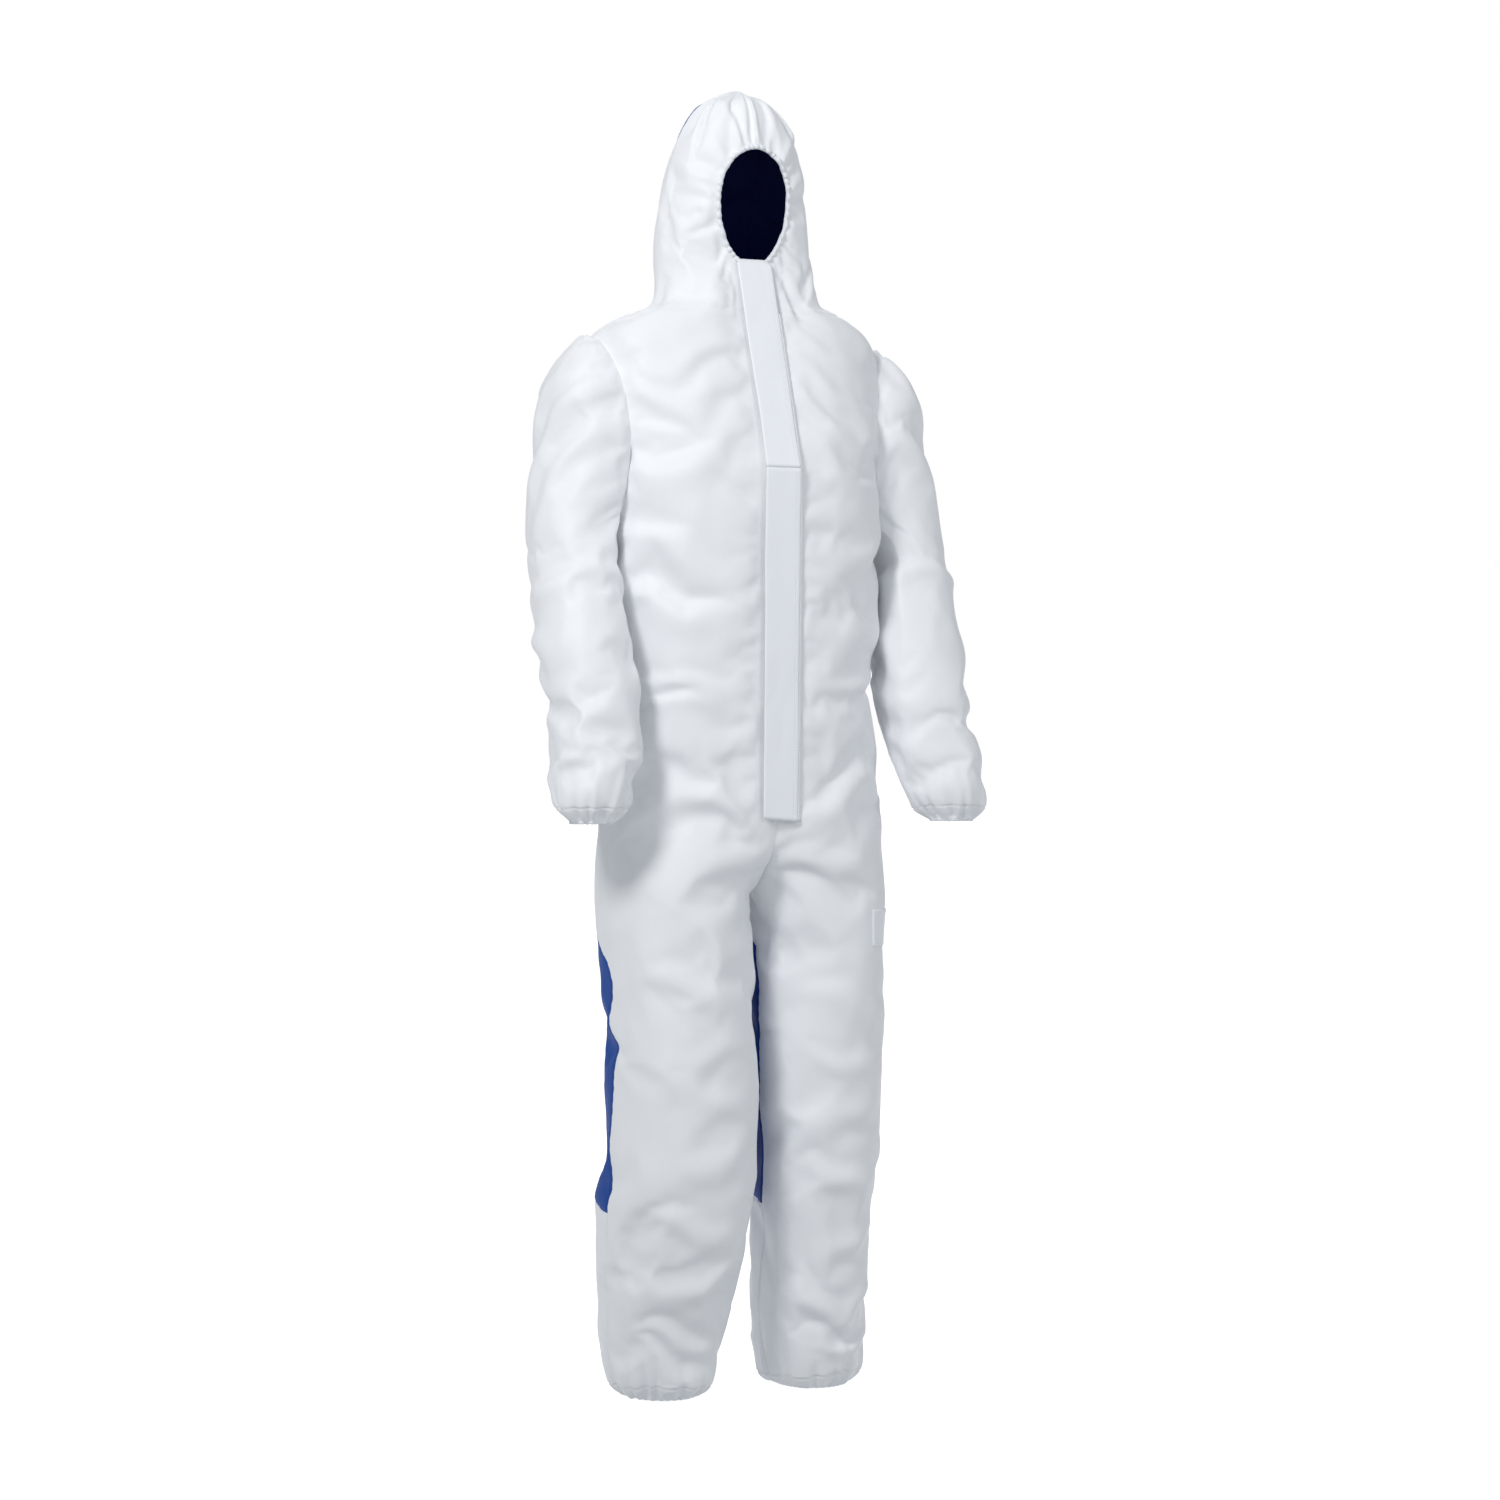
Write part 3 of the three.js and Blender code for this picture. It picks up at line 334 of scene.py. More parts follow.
body_count = len(verts)
sleeve_rows = heights((CUFF, 0.003), (CUFF + 0.03, 0.0065), (HEAD_TOP, 1))
for side in (-1, 1):
    before = None
    for z in sleeve_rows:
        cx, cy, a, b = sleeve_section(z)
        clip = mix(body_half_width(z) + 0.006, 0.15, smooth((z - 1.110) / 0.03))
        loop = []
        for i in range(361):
            turn = 2 * math.pi * i / 360
            x = max(cx - a * power(math.cos(turn)), clip)
            loop.append((side * x, cy - b * power(math.sin(turn))))
        row = add_row(resample(loop, ARM_COLUMNS)[:-1], z)
        if before:
            join_rows(before, row, side, True)
        before = row
    pole = len(verts)
    verts.append((side * 0.200, 0.026, HEAD_TOP + 0.001))
    for i in range(ARM_COLUMNS):
        tri = [before[i], before[(i + 1) % ARM_COLUMNS], pole]
        faces.append(tri if side < 0 else tri[::-1])

mesh = bpy.data.meshes.new("suit")
mesh.from_pydata(verts, [], faces)
bm = bmesh.new()
bm.from_mesh(mesh)
on_body = bm.verts.layers.int.new("on_body")
bm.verts.ensure_lookup_table()
for v in bm.verts:
    v[on_body] = 1 if v.index < body_count else 0
bmesh.ops.remove_doubles(bm, verts=bm.verts, dist=1e-5)
bmesh.ops.recalc_face_normals(bm, faces=bm.faces)


# ---------- cutting the cloth along its seams ----------
def cut_along(value, within):
    """Moves the nearest points onto the line where value is nought, and splits the faces that it crosses."""
    level = {v: value(v.co) for v in bm.verts if within(v)}
    crossing = []
    for v, here in level.items():
        for e in v.link_edges:
            o = e.other_vert(v)
            there = level.get(o)
            if there is not None and here * there < 0 and abs(here) <= abs(there):
                t = here / (here - there)
                crossing.append((t * e.calc_length(), v, o, v.co.lerp(o.co, t)))
    crossing.sort(key=lambda c: c[0])
    for _, v, o, place in crossing:
        if level[v] * level[o] < 0:
            v.co = place
            level[v] = 0.0
    for f in list(bm.faces):
        signs = [level.get(v) for v in f.verts]
        if None in signs or max(signs) <= 0 or min(signs) >= 0:
            continue
        still = [v for v, s in zip(f.verts, signs) if s == 0]
        if len(still) == 2:
            bmesh.utils.face_split(f, still[0], still[1])


def ring_angle(p):
    return math.atan2((p.y - ARM_Y) / ARM_DEEP, (p.z - ARM_Z) / ARM_TALL)


def ring_reach(p):
    return math.hypot((p.y - ARM_Y) / ARM_DEEP, (p.z - ARM_Z) / ARM_TALL)


def ring_x(angle):
    c = math.cos(angle)
    return RING_X + (RING_OUT if c > 0 else RING_IN) * c * c


def ring_point(side, angle):
    return Vector((side * ring_x(angle), ARM_Y + ARM_DEEP * math.sin(angle), ARM_Z + ARM_TALL * math.cos(angle)))


def trunk_x(y, z):
    a, back = row_at(BODY, min(max(z, CROTCH), NECK))
    depth = front_line(z) if y < 0 else back
    return a * max(1 - abs(y / depth) ** ROUND, 0.0) ** (1 / ROUND)


def face_level(p):
    reach = (p.z - FACE_Z) / FACE_TALL
    wide = FACE_WIDE * (1 + 0.10 * min(max(reach, -1), 1))
    return (math.hypot(p.x / wide, reach) - 1) * 0.06


def slot_level(p):
    return max(abs(p.x) - SLOT, SLOT_LOW - p.z)


def hood_panel_level(p):
    return max(abs(p.x) - HOOD_PANEL, HOOD_PANEL_FRONT - p.y)


def leg_middle(p):
    """The blue seam's turn and the middle of the section it is measured from."""
    side = -1 if p.x < 0 else 1
    if p.z >= HIP:
        return side, 0.0, 0.0, math.radians(38)
    cx, cy = leg_section(side, p.z)[:2]
    if side * p.x < abs(cx):
        return side, abs(cx), cy, math.radians(mix(-7, 38, smooth((p.z - 0.590) / 0.05)))
    pinch = 8 * math.exp(-((p.z - 0.50) / 0.020) ** 2)
    return side, abs(cx), cy, math.radians(mix(-4, 38, smooth((p.z - 0.548) / 0.10)) + pinch)


def blue_level(p):
    side, cx, cy, turn = leg_middle(p)
    return (p.y - cy) * math.cos(turn) - abs(side * p.x - cx) * math.sin(turn)


def calf_level(p):
    return p.z - BLUE_END - 0.22 * (p.y + 0.015)


def is_body(v):
    return v[on_body] == 1


for side in (-1, 1):
    near = lambda v: is_body(v) and side * v.co.x > 0.11 and 1.08 < v.co.z < 1.44
    cut_along(lambda p: (ring_reach(p) - 1) * 0.1, near)
    gone = [f for f in bm.faces if all(near(v) for v in f.verts) and ring_reach(f.calc_center_median()) < 1]
    bmesh.ops.delete(bm, geom=gone, context="FACES")
    for v in bm.verts:
        if is_body(v) and side * v.co.x > 0.1 and 1.0 < v.co.z < 1.44:
            angle, reach = ring_angle(v.co), ring_reach(v.co)
            pull = ring_x(angle) - trunk_x(ARM_Y + ARM_DEEP * math.sin(angle), ARM_Z + ARM_TALL * math.cos(angle))
            v.co.x += side * pull * smooth(1 - (reach - 1) * 0.1 / 0.055)
            if v.is_boundary:
                v.co = ring_point(side, angle)
    near = lambda v: not is_body(v) and side * v.co.x > 0.11 and v.co.z > 1.10
    cut_along(lambda p: side * p.x - ring_x(ring_angle(p)), near)
    gone = [
        f for f in bm.faces
        if all(near(v) for v in f.verts)
        and side * f.calc_center_median().x < ring_x(ring_angle(f.calc_center_median()))
    ]
    bmesh.ops.delete(bm, geom=gone, context="FACES")
    for _ in range(4):
        long_edges = [
            e for e in bm.edges
            if e.is_boundary and all(near(v) for v in e.verts) and e.calc_length() > RING_STEP
        ]
        if not long_edges:
            break
        for v in bmesh.ops.subdivide_edges(bm, edges=long_edges, cuts=1)["geom_inner"]:
            if isinstance(v, bmesh.types.BMVert):
                v.co = ring_point(side, ring_angle(v.co))
    edge = [v for v in bm.verts if not is_body(v) and side * v.co.x > 0.1 and v.co.z > 1.0 and v.is_boundary]
    pulls = [(v.co.copy(), ring_point(side, ring_angle(v.co)) - v.co) for v in edge]
    tree = kdtree.KDTree(len(pulls))
    for i, (place, _) in enumerate(pulls):
        tree.insert(place, i)
    tree.balance()
    for v in bm.verts:
        if not is_body(v) and side * v.co.x > 0.1 and v.co.z > 1.0:
            near3 = tree.find_n(v.co, 5)
            if near3[0][2] < PULLED:
                weights = [1 / (d + 0.002) ** 2 for _, _, d in near3]
                pull = sum((pulls[i][1] * w for (_, i, _), w in zip(near3, weights)), Vector()) / sum(weights)
                v.co += (pulls[near3[0][1]][1] if near3[0][2] < 1e-6 else pull) * smooth(1 - near3[0][2] / PULLED)
bmesh.ops.delete(bm, geom=[v for v in bm.verts if not v.link_faces], context="VERTS")

front = lambda v: is_body(v) and v.co.y < -0.01
cut_along(lambda p: p.z - WAIST, lambda v: is_body(v) and abs(v.co.z - WAIST) < 0.02)
cut_along(lambda p: p.z - LEG_CUT, lambda v: is_body(v) and abs(v.co.z - LEG_CUT) < 0.02)
cut_along(blue_level, lambda v: is_body(v) and 0.10 < v.co.z < NECK + 0.001)
cut_along(calf_level, lambda v: is_body(v) and blue_level(v.co) > -0.001 and 0.18 < v.co.z < 0.33)
cut_along(hood_panel_level, lambda v: is_body(v) and v.co.z > NECK - 0.001)
cut_along(slot_level, lambda v: front(v) and SLOT_LOW - 0.03 < v.co.z < 1.53)
cut_along(face_level, lambda v: front(v) and v.co.z > 1.47)
gone = []
for f in bm.faces:
    c = f.calc_center_median()
    if c.y < -0.01 and all(is_body(v) for v in f.verts):
        if c.z > 1.47 and face_level(c) < 0 or SLOT_LOW - 0.03 < c.z < 1.52 and slot_level(c) < 0:
            gone.append(f)
bmesh.ops.delete(bm, geom=gone, context="FACES")
cut_along(lambda p: p.z - SLEEVE_CUT, lambda v: not is_body(v) and abs(v.co.z - SLEEVE_CUT) < 0.02)

PIECES = [  # the names of the cloth's panels
    "right_front_cloth", "left_front_cloth", "back_cloth", "right_seat_cloth", "left_seat_cloth",
    "right_leg_front_cloth", "left_leg_front_cloth", "right_leg_back_cloth", "left_leg_back_cloth",
    "right_calf_cloth", "left_calf_cloth", "right_hem_cloth", "left_hem_cloth",
    "hood_right_cloth", "hood_left_cloth", "hood_back_cloth",
    "right_sleeve_top_cloth", "left_sleeve_top_cloth", "right_sleeve_lower_cloth", "left_sleeve_lower_cloth",
    "right_cuff_cloth", "left_cuff_cloth",
]


def piece_of(f):
    c = f.calc_center_median()
    word = "right" if c.x < 0 else "left"
    if not all(is_body(v) for v in f.verts):
        if c.z < CUFF + 0.021:
            return word + "_cuff_cloth"
        return word + ("_sleeve_top_cloth" if c.z > SLEEVE_CUT else "_sleeve_lower_cloth")
    if c.z > NECK:
        return "hood_back_cloth" if hood_panel_level(c) < 0 else "hood_" + word + "_cloth"
    blue = blue_level(c) > 0
    if c.z > LEG_CUT:
        if not blue:
            return word + "_front_cloth"
        return "back_cloth" if c.z > WAIST else word + "_seat_cloth"
    if c.z < 0.0215:
        return word + "_hem_cloth"
    if not blue:
        return word + "_leg_front_cloth"
    return word + ("_leg_back_cloth" if calf_level(c) > 0 else "_calf_cloth")


for f in bm.faces:
    f.material_index = PIECES.index(piece_of(f))
    f.smooth = True
bm.verts.index_update()
bm.verts.ensure_lookup_table()


# ---------- folds ----------
BEND_SOFT = 0.10  # the chest's bend is eased over this much cloth each way
BEND_SLOPE = (front_line(BEND) - front_line(BEND + 0.08)) / 0.08
def ridge(x):
    """A fold's profile: a soft crest with a narrow valley beside it."""
    return math.exp(-x * x) - 0.35 * math.exp(-(x - 1.6) ** 2 * 1.5)


FRONT_FOLDS = [  # from (across, up) to (across, up), width, height
    ((0.020, 1.365), (0.118, 1.245), 0.016, 0.0060), ((0.045, 1.375), (0.150, 1.290), 0.014, 0.0045),
    ((0.035, 1.300), (0.100, 1.210), 0.016, 0.0040), ((-0.035, 1.360), (-0.120, 1.300), 0.016, 0.0040),
    ((-0.060, 1.395), (-0.150, 1.350), 0.013, 0.0045), ((-0.050, 1.280), (-0.165, 1.200), 0.020, 0.0045),
    ((0.060, 1.405), (0.160, 1.345), 0.013, 0.0045), ((-0.185, 1.150), (-0.090, 1.080), 0.018, 0.0050),
    ((0.185, 1.150), (0.080, 1.090), 0.018, 0.0050), ((-0.180, 1.060), (-0.080, 1.010), 0.020, 0.0050),
    ((0.185, 1.030), (0.075, 0.985), 0.020, 0.0050), ((-0.190, 0.955), (-0.075, 0.935), 0.011, 0.0045),
    ((-0.185, 0.930), (-0.090, 0.918), 0.010, 0.0040), ((0.180, 0.955), (0.080, 0.940), 0.011, 0.0040),
    ((-0.030, 0.760), (-0.150, 0.815), 0.018, 0.0060), ((0.030, 0.760), (0.150, 0.820), 0.018, 0.0060),
    ((-0.020, 0.715), (-0.120, 0.700), 0.018, 0.0055), ((0.022, 0.715), (0.120, 0.705), 0.018, 0.0055),
    ((-0.028, 0.690), (-0.090, 0.600), 0.020, 0.0050), ((0.030, 0.690), (0.080, 0.610), 0.020, 0.0050),
    ((-0.170, 0.560), (-0.060, 0.520), 0.018, 0.0050), ((-0.060, 0.470), (-0.160, 0.440), 0.016, 0.0050),
    ((-0.150, 0.420), (-0.050, 0.385), 0.017, 0.0055), ((-0.045, 0.345), (-0.150, 0.300), 0.018, 0.0055),
    ((-0.165, 0.250), (-0.075, 0.215), 0.018, 0.0050), ((-0.060, 0.185), (-0.150, 0.140), 0.016, 0.0060),
    ((-0.160, 0.100), (-0.080, 0.060), 0.013, 0.0060), ((0.060, 0.540), (0.160, 0.500), 0.018, 0.0050),
    ((0.060, 0.455), (0.165, 0.430), 0.015, 0.0050), ((0.160, 0.395), (0.070, 0.360), 0.017, 0.0055),
    ((0.070, 0.310), (0.160, 0.270), 0.016, 0.0055), ((0.165, 0.220), (0.080, 0.180), 0.015, 0.0065),
    ((0.060, 0.150), (0.120, 0.085), 0.014, 0.0075), ((0.165, 0.140), (0.110, 0.085), 0.013, 0.0070),
    ((0.075, 0.085), (0.125, 0.050), 0.011, 0.0065), ((0.160, 0.070), (0.115, 0.040), 0.011, 0.0060),
]
SIDE_FOLDS = [  # side, from (depth, up) to (depth, up), width, height; on the sleeves
    (-1, (-0.040, 1.330), (0.050, 1.180), 0.017, 0.0060), (-1, (0.010, 1.350), (0.090, 1.240), 0.015, 0.0050),
    (-1, (-0.060, 1.290), (-0.010, 1.140), 0.015, 0.0050), (-1, (-0.080, 1.090), (0.000, 1.040), 0.016, 0.0060),
    (-1, (0.020, 1.020), (-0.080, 0.985), 0.016, 0.0070), (-1, (-0.010, 0.960), (-0.110, 0.930), 0.016, 0.0060),
    (-1, (-0.050, 0.905), (-0.130, 0.860), 0.015, 0.0060), (-1, (-0.140, 0.850), (-0.080, 0.820), 0.012, 0.0050),
    (1, (-0.040, 1.330), (0.050, 1.180), 0.017, 0.0060), (1, (0.010, 1.350), (0.090, 1.240), 0.015, 0.0050),
    (1, (-0.070, 1.300), (-0.030, 1.150), 0.014, 0.0060), (1, (-0.085, 1.110), (0.010, 1.060), 0.016, 0.0065),
    (1, (0.020, 1.030), (-0.090, 0.985), 0.017, 0.0075), (1, (-0.020, 0.955), (-0.120, 0.915), 0.016, 0.0065),
    (1, (-0.060, 0.890), (-0.140, 0.850), 0.014, 0.0060),
]


def fold_height(u, w, start, end, width, height):
    du, dw = end[0] - start[0], end[1] - start[1]
    length = math.hypot(du, dw)
    along = ((u - start[0]) * du + (w - start[1]) * dw) / (length * length)
    if not -0.15 < along < 1.15:
        return 0.0
    off = ((w - start[1]) * du - (u - start[0]) * dw) / length
    if abs(off) > 3.2 * width:
        return 0.0
    wander = 0.35 * width * math.sin(7 * along + 40 * start[1])
    taper = math.sin(math.pi * min(max((along + 0.15) / 1.3, 0), 1)) ** 0.8
    return height * taper * ridge((off + wander) / (width * (0.75 + 0.5 * along)))


def crumple(p, size, seed):
    """Soft creases of about one size, in no order."""
    q = Vector((p.x * 0.9, p.y * 0.9, p.z * 0.62)) / size + Vector((seed, 2 * seed, 3 * seed))
    n = noise.noise(q)
    m = noise.noise(q * 1.9 + Vector((7.1, 3.3, 9.2)))
    return (1 - abs(n) * 2.6) * 0.6 + m * 0.35


def gathers(angle, count, seed):
    """Uneven pleats round an elastic."""
    return math.sin(angle * count + 1.4 * math.sin(angle * 5 + seed) + 0.9 * math.sin(angle * 11 + 2 * seed))


def fold_amount(v):
    p = v.co
    x, y, z = p
    d = 0.0
    side = -1 if x < 0 else 1
    if is_body(v):
        calm = 1.0
        if y < 0 and 0.74 < z < 1.54:  # beside the zip the cloth lies flat
            calm = smooth((abs(x) - 0.026) / 0.05)
        if z > NECK - 0.01:
            edge = face_level(p) / 0.06 * FACE_TALL
            if y < 0 and edge < 0.10:
                turn = math.atan2(x / FACE_WIDE, (p.z - FACE_Z) / FACE_TALL)
                fade = math.exp(-max(edge, 0) / 0.028)
                d += 0.0026 * fade * gathers(turn, 21, 1.0)
                d += 0.0022 * math.exp(-max(edge, 0) / 0.06) * gathers(turn, 11, 2.0)
            crown = smooth((z - 1.60) / 0.1)
            d += 0.0022 * crown * (1 - smooth((z - 1.72) / 0.02)) * gathers(math.atan2(x, -y), 13, 0.4)
            low = 1 - smooth((z - NECK) / 0.13)
            d += 0.0030 * low * smooth((abs(x) - 0.02) / 0.04) * gathers(math.atan2(x, -y), 6, 2.2)
            d += 0.0022 * (crumple(p, 0.055, 3) - 0.3) * calm * smooth((z - NECK) / 0.02)
        else:
            low = 1 - smooth((z - 0.62) / 0.25)
            d += mix(0.0036, 0.0060, low) * (crumple(p, 0.090, 1) - 0.3) * calm
            d += mix(0.0013, 0.0022, low) * (crumple(p, 0.042, 5) - 0.3) * calm
        if y < 0.02:
            for start, end, width, height in FRONT_FOLDS:
                d += calm * fold_height(x, z, start, end, width, height)
        if z < 0.13:  # gathers over the ankle elastic
            cx, cy = leg_section(side, z)[:2]
            turn = math.atan2(y - cy, x - cx)
            d += 0.0036 * smooth(1 - z / 0.12) ** 1.5 * gathers(turn, 17, side) * smooth(z / 0.008 + 0.4)
        back = smooth((y - 0.02) / 0.03)
        if back and abs(z - WAIST) < 0.10:  # the elastic draws in the back's waist
            near = 1 - smooth(abs(z - WAIST) / 0.10)
            d += back * near * (0.0040 * gathers(x * 30, 3, 0.7) - 0.006 * near)
    else:
        d += 0.0044 * (crumple(p, 0.075, 4) - 0.3) + 0.0016 * (crumple(p, 0.035, 7) - 0.3)
        for which, start, end, width, height in SIDE_FOLDS:
            if which == side:
                d += fold_height(y, z, start, end, width, height)
        if z < CUFF + 0.10:
            cx, cy, a, b = sleeve_section(z)
            turn = math.atan2(y - cy, x - side * cx)
            d += 0.0034 * smooth(1 - (z - CUFF) / 0.10) ** 1.4 * gathers(turn, 13, side * 2)
    return d


bm.normal_update()
pins = set()
for v in bm.verts:
    p = v.co
    beside_zip = is_body(v) and p.y < 0 and 0.74 < p.z < 1.54 and abs(p.x) < 0.034
    if v.is_boundary or beside_zip:
        pins.add(v.index)
moves = {}
for v in bm.verts:
    hold = 1.0
    if v.index in pins:
        hold = 0.0
    elif any(e.other_vert(v).is_boundary for e in v.link_edges):
        hold = 0.5
    moves[v] = v.normal * fold_amount(v) * hold
    if is_body(v) and v.co.y < -0.03 and abs(v.co.z - BEND) < BEND_SOFT:
        inside = BEND_SOFT - abs(v.co.z - BEND)
        moves[v].y += BEND_SLOPE * inside ** 2 / (4 * BEND_SOFT) * smooth((abs(v.co.x) - 0.017) / 0.03)
for v, move in moves.items():
    v.co += move
for v in bm.verts:
    v.co.z -= NECK
bm.normal_update()
bm.to_mesh(mesh)
bm.free()
suit = bpy.data.objects.new("suit", mesh)
bpy.context.scene.collection.objects.link(suit)


# ---------- a short simulation: the cloth is a little too long for its shape, so it buckles ----------
def only(obj):
    bpy.ops.object.select_all(action="DESELECT")
    obj.select_set(True)
    bpy.context.view_layer.objects.active = obj


def points_of(data):
    co = np.empty(len(data.vertices) * 3, np.float32)
    data.vertices.foreach_get("co", co)
    return co.reshape(-1, 3).astype(float)


SLACK, PUFF, MOST = 0.040, 1.3, 0.0085
before = points_of(mesh)
group = suit.vertex_groups.new(name="held")
held = sorted(pins)
soft = [i for i in range(len(mesh.vertices)) if i not in pins]
group.add(held, 1.0, "REPLACE")
group.add(soft, 0.012, "REPLACE")
only(suit)
cloth = suit.modifiers.new("Cloth", "CLOTH")
cloth.settings.vertex_group_mass = "held"
cloth.settings.quality = 4
cloth.settings.mass = 0.05
cloth.settings.tension_stiffness = 12
cloth.settings.compression_stiffness = 12
cloth.settings.shear_stiffness = 5
cloth.settings.bending_stiffness = 0.6
cloth.settings.pin_stiffness = 1.0
cloth.settings.air_damping = 2
cloth.settings.shrink_min = -SLACK
cloth.settings.use_pressure = True
cloth.settings.uniform_pressure_force = PUFF
cloth.settings.effector_weights.gravity = 0
cloth.collision_settings.use_collision = False
cloth.collision_settings.use_self_collision = False
cloth.point_cache.frame_start = 1
cloth.point_cache.frame_end = 20
scene = bpy.context.scene
for moment in range(1, 21):
    scene.frame_set(moment)
bpy.ops.object.modifier_apply(modifier="Cloth")
scene.frame_set(1)
suit.vertex_groups.clear()
after = points_of(suit.data)
push = after - before
size = np.linalg.norm(push, axis=1)
push *= (MOST * np.tanh(size / MOST) / np.maximum(size, 1e-9))[:, None]
suit.data.vertices.foreach_set("co", (before + push).astype(np.float32).ravel())
suit.data.update()

only(suit)
finer = suit.modifiers.new("Subdivision", "SUBSURF")
finer.levels = finer.render_levels = 1
bpy.ops.object.modifier_apply(modifier="Subdivision")
mesh = suit.data

# both sides of each armhole meet exactly on its ring
uses = {}
for face in mesh.polygons:
    for key in face.edge_keys:
        uses[key] = uses.get(key, 0) + 1
for key, count in uses.items():
    for i in key if count == 1 else ():
        place = mesh.vertices[i].co
        if abs(place.x) > 0.15 and place.z > ARM_Z - ARM_TALL - NECK - 0.02:
            level = Vector((place.x, place.y, place.z + NECK))
            mesh.vertices[i].co = ring_point(-1 if place.x < 0 else 1, ring_angle(level)) - Vector((0, 0, NECK))

# every sewn seam draws the cloth in a little and puckers it
ONE_CLOTH = {("front", "leg_front"), ("seat", "leg_back"), ("sleeve_top", "sleeve_lower")}


def bare(name):
    return name.replace("right_", "").replace("left_", "").replace("_cloth", "")


def sewn(a, b):
    kinds = tuple(sorted((bare(PIECES[a]), bare(PIECES[b]))))
    return a != b and kinds not in {tuple(sorted(pair)) for pair in ONE_CLOTH}


pieces_at = {}
for face in mesh.polygons:
    for i in face.vertices:
        pieces_at.setdefault(i, set()).add(face.material_index)
for i, found in pieces_at.items():
    if len(found) > 1 and any(sewn(a, b) for a in found for b in found):
        v = mesh.vertices[i]
        pucker = math.sin(v.co.z * 420) + math.sin(v.co.x * 390 + v.co.y * 350)
        v.co -= v.normal * (0.0014 + 0.0003 * pucker)
mesh.update()


# ---------- parting the cloth into its sewn panels ----------
co = points_of(mesh)
normals = np.empty(len(mesh.vertices) * 3, np.float32)
mesh.vertices.foreach_get("normal", normals)
normals = normals.reshape(-1, 3).astype(float)
loops = np.empty(len(mesh.loops), np.int32)
mesh.loops.foreach_get("vertex_index", loops)
piece_index = np.empty(len(mesh.polygons), np.int32)
mesh.polygons.foreach_get("material_index", piece_index)
corners = loops.reshape(-1, 4)
tree_faces = [tuple(int(i) for i in c) for c in corners]
surface = bvhtree.BVHTree.FromPolygons([tuple(p) for p in co], tree_faces)


def thick_sheet(name, points, directions, quads, thickness):
    """A sheet given its thickness: outer face, inner face and rim. The inner faces get the second material."""
    used, inverse = np.unique(quads, return_inverse=True)
    quads = inverse.reshape(quads.shape)
    outer, n = points[used], directions[used]
    count = len(used)
    forward = np.concatenate([np.stack([quads[:, k], quads[:, (k + 1) % 4]], axis=1) for k in range(4)])
    keys = forward[:, 0].astype(np.int64) * count + forward[:, 1]
    back = forward[:, 1].astype(np.int64) * count + forward[:, 0]
    rim = forward[~np.isin(keys, back)]
    rims = np.stack([rim[:, 1], rim[:, 0], rim[:, 0] + count, rim[:, 1] + count], axis=1)
    everything = np.concatenate([quads, quads[:, ::-1] + count, rims])
    data = bpy.data.meshes.new(name)
    data.from_pydata(
        np.concatenate([outer, outer - n * thickness]).tolist(), [], everything.tolist()
    )
    data.polygons.foreach_set("use_smooth", [True] * len(everything))
    data.polygons.foreach_set(
        "material_index", [0] * len(quads) + [1] * len(quads) + [0] * len(rims)
    )
    data.update()
    data.normals_split_custom_set_from_vertices(np.concatenate([n, -n]).tolist())
    obj = bpy.data.objects.new(name, data)
    bpy.context.scene.collection.objects.link(obj)
    return obj


cloths = {}
for index, name in enumerate(PIECES):
    cloths[name] = thick_sheet(name, co, normals, corners[piece_index == index], CLOTH)
bpy.data.objects.remove(suit)


# ---------- materials ----------
class Signal:
    """What one socket of a material gives; sums on it are worked out by the material."""

    def __init__(self, finish, socket):
        self.finish, self.socket = finish, socket

    def _sum(self, operation, *values):
        return self.finish.node("ShaderNodeMath", {"operation": operation}, values)

    def __add__(self, other):
        return self._sum("ADD", self, other)

    __radd__ = __add__

    def __mul__(self, other):
        return self._sum("MULTIPLY", self, other)

    __rmul__ = __mul__

    def __sub__(self, other):
        return self._sum("SUBTRACT", self, other)

    def __rsub__(self, other):
        return self._sum("SUBTRACT", other, self)

    def __pow__(self, other):
        return self._sum("POWER", self, other)

    def below(self, other):
        return self._sum("LESS_THAN", self, other)


